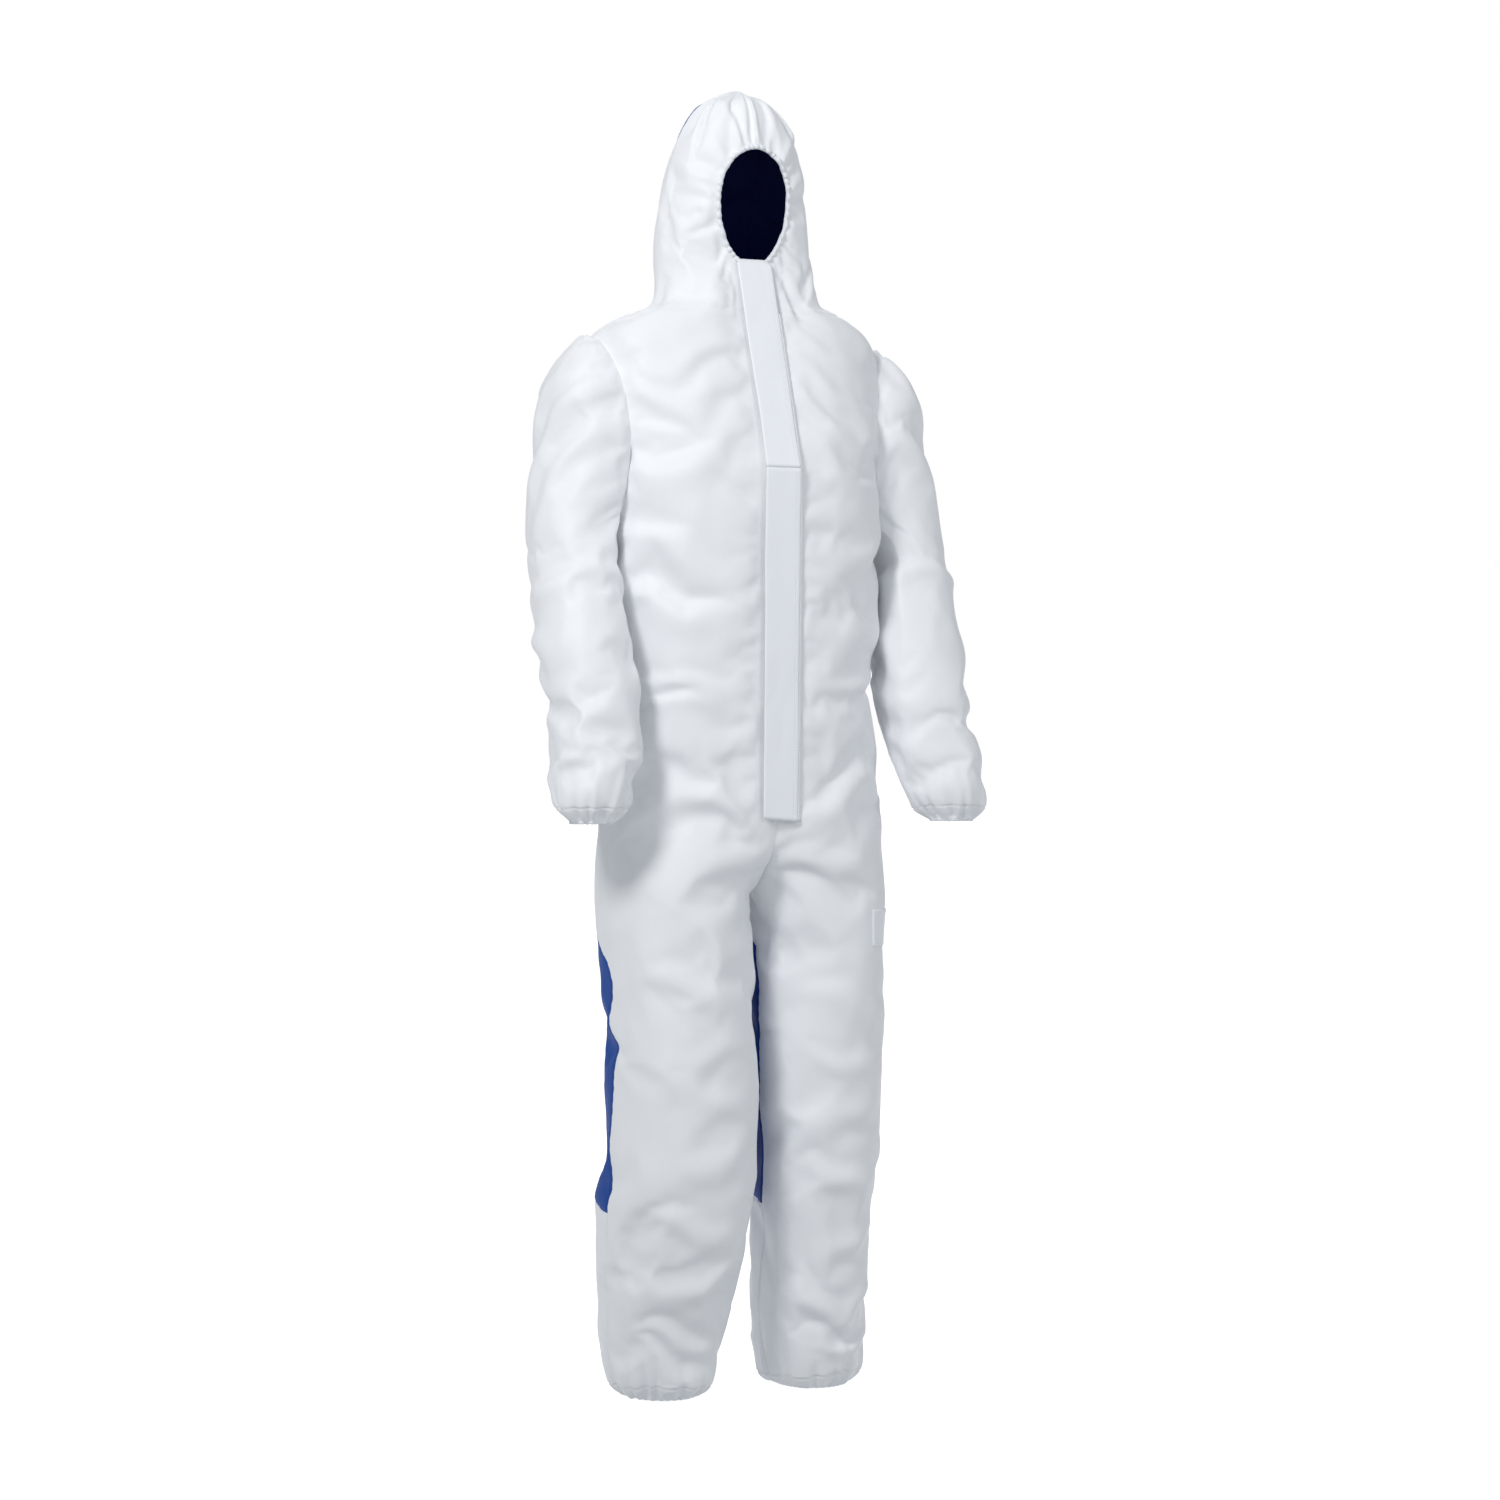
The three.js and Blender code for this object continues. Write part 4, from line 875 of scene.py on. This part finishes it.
class Finish:
    """A material whose constants sit on the shader's own sockets."""

    def __init__(self, name, **constants):
        self.material = bpy.data.materials.new(name)
        self.material.use_nodes = True
        self.tree = self.material.node_tree
        self.shader = self.tree.nodes["Principled BSDF"]
        for socket, value in constants.items():
            self.shader.inputs[socket.replace("_", " ")].default_value = value
        self.place = self.node("ShaderNodeTexCoord", out="Object")

    def node(self, kind, settings=None, values=(), out=0):
        made = self.tree.nodes.new(kind)
        for key, value in (settings or {}).items():
            if key == "stops":
                ramp = made.color_ramp
                ramp.elements[0].position, ramp.elements[0].color = value[0]
                ramp.elements[1].position, ramp.elements[1].color = value[-1]
                for position, colour in value[1:-1]:
                    ramp.elements.new(position).color = colour
            else:
                setattr(made, key, value)
        pairs = values.items() if isinstance(values, dict) else enumerate(values)
        for key, value in pairs:
            if isinstance(value, Signal):
                self.tree.links.new(value.socket, made.inputs[key])
            else:
                made.inputs[key].default_value = value
        return Signal(self, made.outputs[out])

    def noise(self, scale, detail=3.0, rough=0.5, stretch=(1, 1, 1)):
        where = self.place
        if stretch != (1, 1, 1):
            where = self.node("ShaderNodeMapping", values={"Vector": self.place, "Scale": stretch})
        return self.node(
            "ShaderNodeTexNoise", values={"Vector": where, "Scale": scale, "Detail": detail, "Roughness": rough}
        )

    def dots(self, pitch, size):
        """Small round marks, as the heated points that hold the fibres together."""
        cells = self.node(
            "ShaderNodeTexVoronoi", {"feature": "F1"}, {"Vector": self.place, "Scale": 1 / pitch, "Randomness": 0.25}
        )
        return cells.below(size)

    def blend_colours(self, amount, first, second):
        return self.node(
            "ShaderNodeMix", {"data_type": "RGBA"}, {0: amount, 6: first, 7: second}, out=2
        )

    def bump(self, height, strength, distance):
        feeds = {"Height": height, "Strength": strength, "Distance": distance}
        return self.node("ShaderNodeBump", values=feeds)

    def feed(self, **signals):
        for socket, signal in signals.items():
            self.tree.links.new(signal.socket, self.shader.inputs[socket.replace("_", " ")])
        return self.material


def cloth_finish(name, light, dark, bond, rough, sheen, pitch):
    """A bonded non-woven: fibres, rows of bonding points, faint handling creases and uneven tone."""
    finish = Finish(name, Sheen_Weight=sheen, Sheen_Roughness=0.45, IOR=1.45, Specular_IOR_Level=0.35)
    fibres = finish.noise(900.0, 4.0, 0.65, (1, 1, 0.35))
    handling = finish.noise(26.0, 5.0, 0.6)
    tone = finish.noise(5.0, 2.0)
    points = finish.dots(pitch, 0.26)
    base = finish.blend_colours(tone * 0.6 + handling * 0.4, light, dark)
    base = finish.blend_colours(points * 0.35, base, bond)
    height = fibres * 0.35 + handling * 1.6 - points * 0.8
    return finish.feed(
        Base_Color=base,
        Roughness=rough + handling * 0.16 - points * 0.10,
        Normal=finish.bump(height, 0.22, 0.0009),
    )


WHITE = cloth_finish(
    "white_laminate", (0.90, 0.908, 0.925, 1), (0.84, 0.850, 0.872, 1), (0.93, 0.935, 0.95, 1), 0.44, 0.10, 0.0021
)
BLUE = cloth_finish(
    "blue_breathable_cloth", (0.004, 0.062, 0.325, 1), (0.002, 0.045, 0.255, 1), (0.002, 0.035, 0.20, 1),
    0.62, 0.02, 0.0019
)
# painted shade: the inside faces of the hood and of the blue panels are coloured a darker navy than the blue cloth,
# as they look in shadow
INSIDE_PAINTED_SHADE = cloth_finish(
    "blue_inside_painted_shade", (0.0, 0.010, 0.150, 1), (0.0, 0.007, 0.115, 1), (0.0, 0.006, 0.09, 1), 0.80, 0.0, 0.0019
)
FLAP_CLOTH = cloth_finish(
    "flap_laminate", (0.915, 0.93, 0.955, 1), (0.86, 0.875, 0.905, 1), (0.94, 0.95, 0.965, 1), 0.42, 0.12, 0.0021
)


def woven_finish(name, light, dark, scale, rough):
    """A narrow woven or knitted tape: crossing rows of threads."""
    finish = Finish(name, Sheen_Weight=0.15, IOR=1.45)
    rows = finish.node(
        "ShaderNodeTexWave", {"bands_direction": "Z"}, {"Vector": finish.place, "Scale": scale, "Distortion": 0.6}
    )
    across = finish.node(
        "ShaderNodeTexWave", {"bands_direction": "X"},
        {"Vector": finish.place, "Scale": scale * 1.3, "Distortion": 0.6}
    )
    thread = rows * 0.5 + across * 0.5
    return finish.feed(
        Base_Color=finish.blend_colours(thread, dark, light),
        Roughness=rough + finish.noise(60.0) * 0.15,
        Normal=finish.bump(thread, 0.35, 0.0004),
    )


ELASTIC = woven_finish("gathered_elastic", (0.88, 0.90, 0.93, 1), (0.74, 0.76, 0.80, 1), 260.0, 0.60)
TAPE = woven_finish("zip_tape_weave", (0.86, 0.87, 0.89, 1), (0.66, 0.67, 0.70, 1), 320.0, 0.65)
THREAD = woven_finish("sewing_thread", (0.88, 0.89, 0.91, 1), (0.70, 0.72, 0.76, 1), 900.0, 0.50)


def hard_finish(name, base, worn, metallic, rough):
    """Moulded nylon or painted metal, rubbed lighter in patches."""
    finish = Finish(name, Metallic=metallic, IOR=1.5)
    rub = finish.noise(420.0, 4.0, 0.6)
    return finish.feed(
        Base_Color=finish.blend_colours(rub ** 2.0, base, worn),
        Roughness=rough + rub * 0.2,
        Normal=finish.bump(finish.noise(1800.0, 2.0), 0.10, 0.0001),
    )


NYLON = hard_finish("zip_teeth_nylon", (0.80, 0.81, 0.83, 1), (0.90, 0.91, 0.92, 1), 0.0, 0.32)
METAL = hard_finish("zip_slider_metal", (0.62, 0.63, 0.65, 1), (0.80, 0.80, 0.82, 1), 1.0, 0.26)


def dress(obj, outer, inner=None):
    obj.data.materials.append(outer)
    if inner:
        obj.data.materials.append(inner)


# ---------- each panel's cloth, body, CAD nodes and flat size ----------
HOOD_BEND = ((0, 0, 0.040), (0, 0.055, 0.135))
JOINS = {}
for side, word in ((-1, "right"), (1, "left")):
    hip = ("torso", f"{word}_thigh", (0, 0, CROTCH - NECK), (side * 0.0572, 0, CROTCH - NECK - 0.0995))
    knee_y = leg_section(side, KNEE)[1]
    knee = (f"{word}_thigh", f"{word}_shin", (0, knee_y, KNEE - NECK + 0.065), (0, knee_y, KNEE - NECK - 0.065))
    arm_start = Vector((side * 0.190, 0, ARM_Z - ARM_TALL - NECK))
    arm = ("torso", f"{word}_upper_sleeve", arm_start, arm_start + Vector((side * 0.92, 0, -0.392)) * 0.030)
    elbow = (f"{word}_upper_sleeve", f"{word}_forearm", (0, 0, ELBOW - NECK + 0.010), (0, 0, ELBOW - NECK - 0.070))
    JOINS[f"{word}_front_cloth"] = (
        hip, WHITE, "white_cloth", [f"{word}_front_panel", f"{word}_hip_front"], (0.34, 0.86), 0.245)
    JOINS[f"{word}_seat_cloth"] = (hip, BLUE, "blue_cloth", [f"{word}_hip_back"], (0.30, 0.36), 0.070)
    JOINS[f"{word}_leg_front_cloth"] = (
        knee, WHITE, "white_cloth", [f"{word}_thigh_front", f"{word}_knee_front", f"{word}_shin_front"],
        (0.35, 0.60), 0.16)
    JOINS[f"{word}_leg_back_cloth"] = (
        knee, BLUE, "blue_cloth", [f"{word}_thigh_back", f"{word}_knee_back", f"{word}_calf_back"],
        (0.34, 0.37), 0.105)
    JOINS[f"{word}_calf_cloth"] = (f"{word}_shin", WHITE, "white_cloth", [f"{word}_ankle_back"], (0.33, 0.25), 0.06)
    JOINS[f"{word}_hem_cloth"] = (f"{word}_shin", WHITE, "elastic_edge", [f"{word}_ankle_hem"], (0.42, 0.03), 0.0105)
    JOINS[f"{word}_sleeve_top_cloth"] = (
        arm, WHITE, "white_cloth", [f"{word}_sleeve_head", f"{word}_upper_sleeve"], (0.46, 0.34), 0.11)
    JOINS[f"{word}_sleeve_lower_cloth"] = (
        elbow, WHITE, "white_cloth", [f"{word}_elbow", f"{word}_forearm"], (0.46, 0.32), 0.11)
    JOINS[f"{word}_cuff_cloth"] = (f"{word}_forearm", WHITE, "elastic_edge", [f"{word}_cuff"], (0.27, 0.03), 0.006)
    JOINS[f"hood_{word}_cloth"] = (
        ("torso", "hood", *HOOD_BEND), WHITE, "white_cloth", [f"hood_{word}_side"], (0.24, 0.36), 0.062)
JOINS["back_cloth"] = ("torso", BLUE, "blue_cloth", ["back_panel", "waist_elastic"], (0.30, 0.52), 0.125)
JOINS["hood_back_cloth"] = (
    ("torso", "hood", *HOOD_BEND), BLUE, "blue_cloth", ["hood_back_panel"], (0.14, 0.34), 0.04)


def settle(obj, how):
    if isinstance(how, str):
        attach(obj, how)
    else:
        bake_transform(obj)


for name, (how, finish, slot, nodes, flat, area) in JOINS.items():
    obj = cloths[name]
    # the hood's and the blue panels' inside faces take the darker navy, which is painted shade
    inner = INSIDE_PAINTED_SHADE if name.startswith("hood") or finish is BLUE else WHITE
    dress(obj, finish, inner)
    settle(obj, how)
    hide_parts(*nodes)
    gathered = "hem" in name or "cuff" in name


# ---------- made pieces ----------
def piece(name, points, quads, finish, smooth_faces=True):
    data = bpy.data.meshes.new(name)
    data.from_pydata([tuple(p) for p in points], [], [tuple(int(i) for i in q) for q in quads])
    shape = bmesh.new()
    shape.from_mesh(data)
    bmesh.ops.recalc_face_normals(shape, faces=shape.faces)
    shape.to_mesh(data)
    shape.free()
    data.polygons.foreach_set("use_smooth", [smooth_faces] * len(data.polygons))
    obj = bpy.data.objects.new(name, data)
    bpy.context.scene.collection.objects.link(obj)
    dress(obj, finish)
    return obj


def loop_tube(centres, outward, radii, rows=10):
    """A closed ring of rolled cloth round a line of points."""
    n = len(centres)
    points, quads = [], []
    for i in range(n):
        along = (centres[(i + 1) % n] - centres[i - 1]).normalized()
        rise = (outward[i] - along * outward[i].dot(along)).normalized()
        across = along.cross(rise)
        for k in range(rows):
            turn = 2 * math.pi * k / rows
            points.append(centres[i] + (rise * math.cos(turn) + across * math.sin(turn)) * radii[i])
    for i in range(n):
        j = (i + 1) % n
        for k in range(rows):
            m = (k + 1) % rows
            quads.append((i * rows + k, i * rows + m, j * rows + m, j * rows + k))
    return points, quads


def front_of_cloth(x, z, fallback=None):
    """How far forward the cloth reaches at a place on the front."""
    hit = surface.ray_cast(Vector((x, -1.0, z)), Vector((0, 1, 0)))[0]
    if hit is None or hit.y > -0.015:
        return fallback
    return hit.y


# the rolled hem of the face opening, gathered by its elastic
turns = 300
hem, outs = [], []
last_y = front_of_cloth(0.0, FACE_Z + FACE_TALL * 1.05 - NECK, -0.06)
for i in range(turns):
    turn = 2 * math.pi * i / turns
    reach = math.cos(turn)
    wide = FACE_WIDE * (1 + 0.10 * reach)
    x, z = wide * math.sin(turn), FACE_Z + FACE_TALL * reach - NECK
    last_y = front_of_cloth(x * 1.05, z + FACE_TALL * 0.05 * reach, last_y)
    hem.append(Vector((x, last_y, z)))
    outs.append(Vector((math.sin(turn), -0.8, reach)))
for _ in range(3):
    hem = [Vector((p.x, (hem[i - 1].y + p.y + hem[(i + 1) % turns].y) / 3, p.z)) for i, p in enumerate(hem)]
radii = []
for i in range(turns):
    turn = 2 * math.pi * i / turns
    pleat = gathers(turn, 42, 0.6)
    radii.append(0.0031 + 0.0006 * pleat)
    hem[i] += outs[i].normalized() * 0.0005 * pleat
face_hem = piece("face_rolled_hem", *loop_tube(hem, outs, radii, 12), ELASTIC)
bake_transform(face_hem)
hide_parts("face_elastic")

# the rolled edges of the cuffs and ankles
def open_edges():
    """The cloth's open edges, each as vertices in order."""
    count = len(co)
    forward = np.concatenate([np.stack([corners[:, k], corners[:, (k + 1) % 4]], axis=1) for k in range(4)])
    keys = forward[:, 0].astype(np.int64) * count + forward[:, 1]
    back = forward[:, 1].astype(np.int64) * count + forward[:, 0]
    links = {int(a): int(b) for a, b in forward[~np.isin(keys, back)]}
    found = []
    while links:
        start, here = next(iter(links.items()))
        run = [start]
        del links[start]
        while here != start and here in links:
            run.append(here)
            here = links.pop(here)
        found.append(run)
    return found


for run in open_edges():
    middle = Vector(co[run].mean(axis=0))
    word = "right" if middle.x < 0 else "left"
    if middle.z < 0.03 - NECK:
        name, body = f"{word}_ankle_rolled_edge", f"{word}_shin"
    elif middle.z < CUFF - NECK + 0.01 and abs(middle.x) > 0.2:
        name, body = f"{word}_cuff_rolled_edge", f"{word}_forearm"
    else:
        continue
    centres = [Vector(co[i]) + Vector((0, 0, 0.0016)) for i in run]
    outs = [Vector((p.x - middle.x, p.y - middle.y, -0.02)) for p in centres]
    radii = [0.0020 + 0.0005 * gathers(math.atan2(o.y, o.x), 37, 1.0) for o in outs]
    edge = piece(name, *loop_tube(centres, outs, radii, 8), ELASTIC)
    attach(edge, body)

# the storm flap: two leaves of folded cloth, and the edge that is stitched down
FLAP_FREE, FLAP_HINGE, FLAP_LIFT, FLAP_THICK = -0.0240, 0.0262, 0.0050, 0.0013
FLAP_END, FLAP_STITCH_END = 0.7642, 0.0325


def flap_face(x, z, lift):
    """A point on the flap: over the zip's own line, a little wavy along the free edge."""
    free = smooth((0.012 - x) / 0.034)
    wave = 0.0012 * noise.noise(Vector((x * 18, 2.0, z * 9)))
    wave += 0.0022 * free * noise.noise(Vector((5.0, 1.0, z * 11)))
    sway = 0.0022 * noise.noise(Vector((3.0, 8.0, z * 5))) * free
    return Vector((x + sway, -front_line(z) - lift - abs(wave), z - NECK))


def flap_leaf(name, low, high, slant=0.0, corner=0.0, joined="top"):
    columns, rows = 26, max(8, int((high - low) / 0.005))
    points, quads = [], []
    for layer in (0, 1):
        for r in range(rows + 1):
            t = r / rows
            for c in range(columns + 1):
                u = c / columns
                x = mix(FLAP_FREE, FLAP_HINGE, u) + 0.0007 * noise.noise(Vector((1.0, u, mix(low, high, t) * 12)))
                bottom = low + slant * (1 - u)
                top = high - corner * (1 - math.sqrt(max(1 - max((u - 0.72) / 0.28, 0) ** 2, 0)))
                z = mix(bottom, top, t)
                free_end = t if joined == "top" else 1 - t
                near_edge = min(u * columns, (1 - u) * columns, free_end * rows + 0.3)
                round_off = FLAP_THICK * 0.42 * (1 - min(near_edge / 1.3, 1.0)) ** 2
                lift = FLAP_LIFT + (FLAP_THICK - round_off if layer else round_off)
                points.append(flap_face(x, z, lift))
    per, layer_size = columns + 1, (columns + 1) * (rows + 1)
    for r in range(rows):
        for c in range(columns):
            a = r * per + c
            quads.append((a, a + 1, a + per + 1, a + per))
            quads.append(tuple(layer_size + i for i in (a, a + per, a + per + 1, a + 1)))
    ring = [c for c in range(columns)] + [r * per + columns for r in range(rows)]
    ring += [rows * per + c for c in range(columns, 0, -1)] + [r * per for r in range(rows, 0, -1)]
    for i, a in enumerate(ring):
        b = ring[(i + 1) % len(ring)]
        quads.append((a, layer_size + a, layer_size + b, b))
    return piece(name, points, quads, FLAP_CLOTH)


flap_lower = flap_leaf("storm_flap_lower_cloth", FLAP_END, BEND, slant=0.004)
flap_upper = flap_leaf("storm_flap_upper_cloth", BEND, CHIN, corner=0.010, joined="bottom")
for leaf, node, body, tall in (
    (flap_lower, "storm_flap_lower", "flap_lower", BEND - FLAP_END),
    (flap_upper, "storm_flap_upper", "flap_upper", 0.30),
):
    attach(leaf, body)
    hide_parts(node)

columns, rows = 6, 150
points, quads = [], []
for layer in (0, 1):
    for r in range(rows + 1):
        z = mix(FLAP_END + 0.001, NECK - 0.003, r / rows)
        for c in range(columns + 1):
            u = c / columns
            x = mix(FLAP_HINGE + 0.0003, FLAP_STITCH_END, u)
            under = front_of_cloth(x, z - NECK, -front_line(z))
            over = -front_line(z) - FLAP_LIFT - FLAP_THICK
            y = under - 0.0002
            if layer:
                y = mix(over, under - 0.0011, smooth(u * 1.05)) + 0.00025 * math.sin(z * 900) * u
                y = min(y, under - 0.0009)
            points.append(Vector((x, y, z - NECK)))
per, layer_size = columns + 1, (columns + 1) * (rows + 1)
for r in range(rows):
    for c in range(columns):
        a = r * per + c
        quads.append((a, a + 1, a + per + 1, a + per))
        quads.append(tuple(layer_size + i for i in (a, a + per, a + per + 1, a + 1)))
ring = [c for c in range(columns)] + [r * per + columns for r in range(rows)]
ring += [rows * per + c for c in range(columns, 0, -1)] + [r * per for r in range(rows, 0, -1)]
for i, a in enumerate(ring):
    b = ring[(i + 1) % len(ring)]
    quads.append((a, layer_size + a, layer_size + b, b))
stitched = piece("storm_flap_stitched_cloth", points, quads, FLAP_CLOTH)
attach(stitched, "torso")
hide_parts("storm_flap_stitched_edge")


# the patch on the outside of the left thigh: a turned-in rectangle laid on the folds
PATCH_LOW, PATCH_HIGH = 0.596, 0.646
PATCH_FROM, PATCH_TO = -66, -18  # degrees round the thigh


def patch_point(u, w, lift):
    turn = math.radians(mix(PATCH_FROM, PATCH_TO, u))
    z = mix(PATCH_LOW, PATCH_HIGH, w)
    cx, cy = leg_section(1, z)[:2]
    out = Vector((math.cos(turn), math.sin(turn), 0))
    start = Vector((cx, cy, z - NECK)) + out * 0.18
    return surface.ray_cast(start, -out)[0] + out * lift


def raised_grid(name, columns, rows, point, finish, low, high):
    """A closed thin piece over a grid of places."""
    points, quads = [], []
    for lift in (low, high):
        for r in range(rows + 1):
            for c in range(columns + 1):
                u, w = c / columns, r / rows
                edge = min(u, 1 - u, w, 1 - w)
                points.append(point(u, w, lift if lift == low or edge > 1e-6 else mix(low, high, 0.55)))
    per, size = columns + 1, (columns + 1) * (rows + 1)
    for r in range(rows):
        for c in range(columns):
            a = r * per + c
            quads.append((a, a + 1, a + per + 1, a + per))
            quads.append(tuple(size + i for i in (a, a + per, a + per + 1, a + 1)))
    ring = [c for c in range(columns)] + [r * per + columns for r in range(rows)]
    ring += [rows * per + c for c in range(columns, 0, -1)] + [r * per for r in range(rows, 0, -1)]
    for i, a in enumerate(ring):
        b = ring[(i + 1) % len(ring)]
        quads.append((a, size + a, size + b, b))
    return piece(name, points, quads, finish)


patch = raised_grid("left_thigh_patch_cloth", 28, 18, patch_point, FLAP_CLOTH, 0.0003, 0.0016)
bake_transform(patch)
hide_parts("left_thigh_patch")

# ---------- stitches: short rods of thread, pressed into the cloth ----------
def stitch_row(name, places, ups, body, length=0.0028, gap=0.0016, blend=None):
    """A run of stitches along a line of points."""
    points, quads = [], []
    steps = [0.0]
    for a, b in zip(places, places[1:]):
        steps.append(steps[-1] + (b - a).length)

    def at(s):
        for i in range(len(steps) - 1):
            if steps[i + 1] >= s:
                t = (s - steps[i]) / max(steps[i + 1] - steps[i], 1e-9)
                return places[i].lerp(places[i + 1], t), ups[i].lerp(ups[i + 1], t).normalized()
        return places[-1], ups[-1]

    s, thick = gap, 0.00028
    while s + length < steps[-1]:
        a, rise = at(s)
        b, _ = at(s + length)
        along = (b - a).normalized()
        across = along.cross(rise).normalized()
        base = len(points)
        for t, swell in ((0.0, 0.25), (0.2, 0.9), (0.8, 0.9), (1.0, 0.25)):
            middle = a.lerp(b, t) + rise * thick * (0.9 * swell - 0.35)
            for k in range(6):
                turn = math.pi * k / 3
                points.append(middle + (rise * math.cos(turn) + across * math.sin(turn)) * thick * swell)
        for ring_ in range(3):
            for k in range(6):
                m = (k + 1) % 6
                q = base + ring_ * 6
                quads.append((q + k, q + m, q + 6 + m, q + 6 + k))
        quads.append(tuple(base + k for k in range(6)))
        quads.append(tuple(base + 18 + k for k in range(6)))
        s += length + gap
    made = piece(name, points, quads, THREAD)
    if blend:
        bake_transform(made)
    else:
        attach(made, body)
    return made


def over(point_at, heights_):
    return [point_at(z) for z in heights_]


AHEAD = Vector((0, -1, 0))
for number, x in ((1, 0.0224), (2, 0.0190)):
    for word, body, low, high in (
        ("lower", "flap_lower", FLAP_END + 0.008, BEND - 0.004), ("upper", "flap_upper", BEND + 0.004, CHIN - 0.012),
    ):
        line = [flap_face(x, z, FLAP_LIFT + FLAP_THICK) for z in spaced(low, high, 0.006)]
        stitch_row(f"flap_{word}_stitches_{number}", line, [AHEAD] * len(line), body)
line = [
    Vector((0.0306, front_of_cloth(0.0306, z - NECK, -front_line(z)) - 0.0014, z - NECK))
    for z in spaced(FLAP_END + 0.008, NECK - 0.012, 0.006)
]
stitch_row("flap_edge_stitches", line, [AHEAD] * len(line), "torso")
outline = [(0.05 + 0.9 * t, 0.08) for t in np.linspace(0, 1, 24)]
outline += [(0.95, 0.08 + 0.84 * t) for t in np.linspace(0, 1, 18)]
outline += [(0.95 - 0.9 * t, 0.92) for t in np.linspace(0, 1, 24)]
outline += [(0.05, 0.92 - 0.84 * t) for t in np.linspace(0, 1, 18)]
line = [patch_point(u, w, 0.0017) for u, w in outline]
patch_turns = [math.radians(mix(PATCH_FROM, PATCH_TO, u)) for u, _ in outline]
ups = [Vector((math.cos(turn), math.sin(turn), 0)) for turn in patch_turns]
stitch_row("thigh_patch_stitches", line, ups, None, 0.0024, 0.0014, JOINS["left_front_cloth"][0])

# ---------- the zip's own pieces keep their shapes ----------
for name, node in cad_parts.items():
    if name.startswith("zip_tape"):
        finish = TAPE
    elif name.startswith("zip_teeth"):
        finish = NYLON
    elif name.startswith("zip_") or "slider" in name or "tab" in name:
        finish = METAL
    else:
        continue
    if node.data.materials:
        for k in range(len(node.data.materials)):
            node.data.materials[k] = finish
    else:
        node.data.materials.append(finish)

# ---------- floor, light and camera ----------
def floor_finish():
    finish = Finish("pale_floor", IOR=1.4, Emission_Color=(1, 1, 1, 1), Emission_Strength=0.78)
    tone = finish.noise(1.5, 2.0)
    return finish.feed(
        Base_Color=finish.blend_colours(tone, (0.93, 0.93, 0.935, 1), (0.96, 0.96, 0.962, 1)),
        Roughness=0.55 + tone * 0.1,
    )


bpy.ops.mesh.primitive_plane_add(size=900, location=(0, 0, -NECK - 0.002))
floor = bpy.context.object
floor.name = "floor"
only(floor)
bpy.ops.object.transform_apply(location=True, rotation=False, scale=False)
floor.data.materials.append(floor_finish())
floor.visible_diffuse = False


def area_light(name, place, aim, size, watts, colour=(1, 1, 1)):
    data = bpy.data.lights.new(name, "AREA")
    data.shape, data.size, data.energy, data.color = "DISK", size, watts, colour
    lamp = bpy.data.objects.new(name, data)
    lamp.location = place
    lamp.rotation_euler = (Vector(aim) - Vector(place)).to_track_quat("-Z", "Y").to_euler()
    bpy.context.scene.collection.objects.link(lamp)


area_light("key", (-2.3, -1.7, 1.5), (0, 0, 0.0), 0.8, 54)
area_light("fill", (1.6, -3.2, 0.9), (0, 0, -0.1), 1.4, 18)
area_light("rim", (1.2, 2.8, 1.2), (0, 0, -0.4), 1.6, 18)

world = bpy.data.worlds.new("studio")
bpy.context.scene.world = world
world.use_nodes = True
backdrop = world.node_tree.nodes["Background"]
backdrop.inputs["Color"].default_value = (0.90, 0.95, 1, 1)
backdrop.inputs["Strength"].default_value = 0.49
seen = world.node_tree.nodes.new("ShaderNodeBackground")
seen.inputs["Color"].default_value = (1, 1, 1, 1)
seen.inputs["Strength"].default_value = 1.0
path = world.node_tree.nodes.new("ShaderNodeLightPath")
choose = world.node_tree.nodes.new("ShaderNodeMixShader")
world.node_tree.links.new(path.outputs["Is Camera Ray"], choose.inputs[0])
world.node_tree.links.new(backdrop.outputs[0], choose.inputs[1])
world.node_tree.links.new(seen.outputs[0], choose.inputs[2])
world.node_tree.links.new(choose.outputs[0], world.node_tree.nodes["World Output"].inputs["Surface"])
bpy.context.scene.view_settings.view_transform = "Standard"

AZIMUTH, AWAY, EYE, SPAN = math.radians(-25), 5.0, 0.859 - NECK, 2.02
lens = bpy.data.cameras.new("camera")
camera = bpy.data.objects.new("camera", lens)
bpy.context.scene.collection.objects.link(camera)
lens.sensor_width = 36
lens.lens = 36 * AWAY / SPAN
to_right = Vector((math.cos(AZIMUTH), math.sin(AZIMUTH), 0)) * 0.016
camera.location = Vector((math.sin(AZIMUTH) * AWAY, -math.cos(AZIMUTH) * AWAY, EYE)) + to_right
camera.rotation_euler = (Vector((0, 0, EYE)) + to_right - camera.location).to_track_quat("-Z", "Y").to_euler()
bpy.context.scene.camera = camera
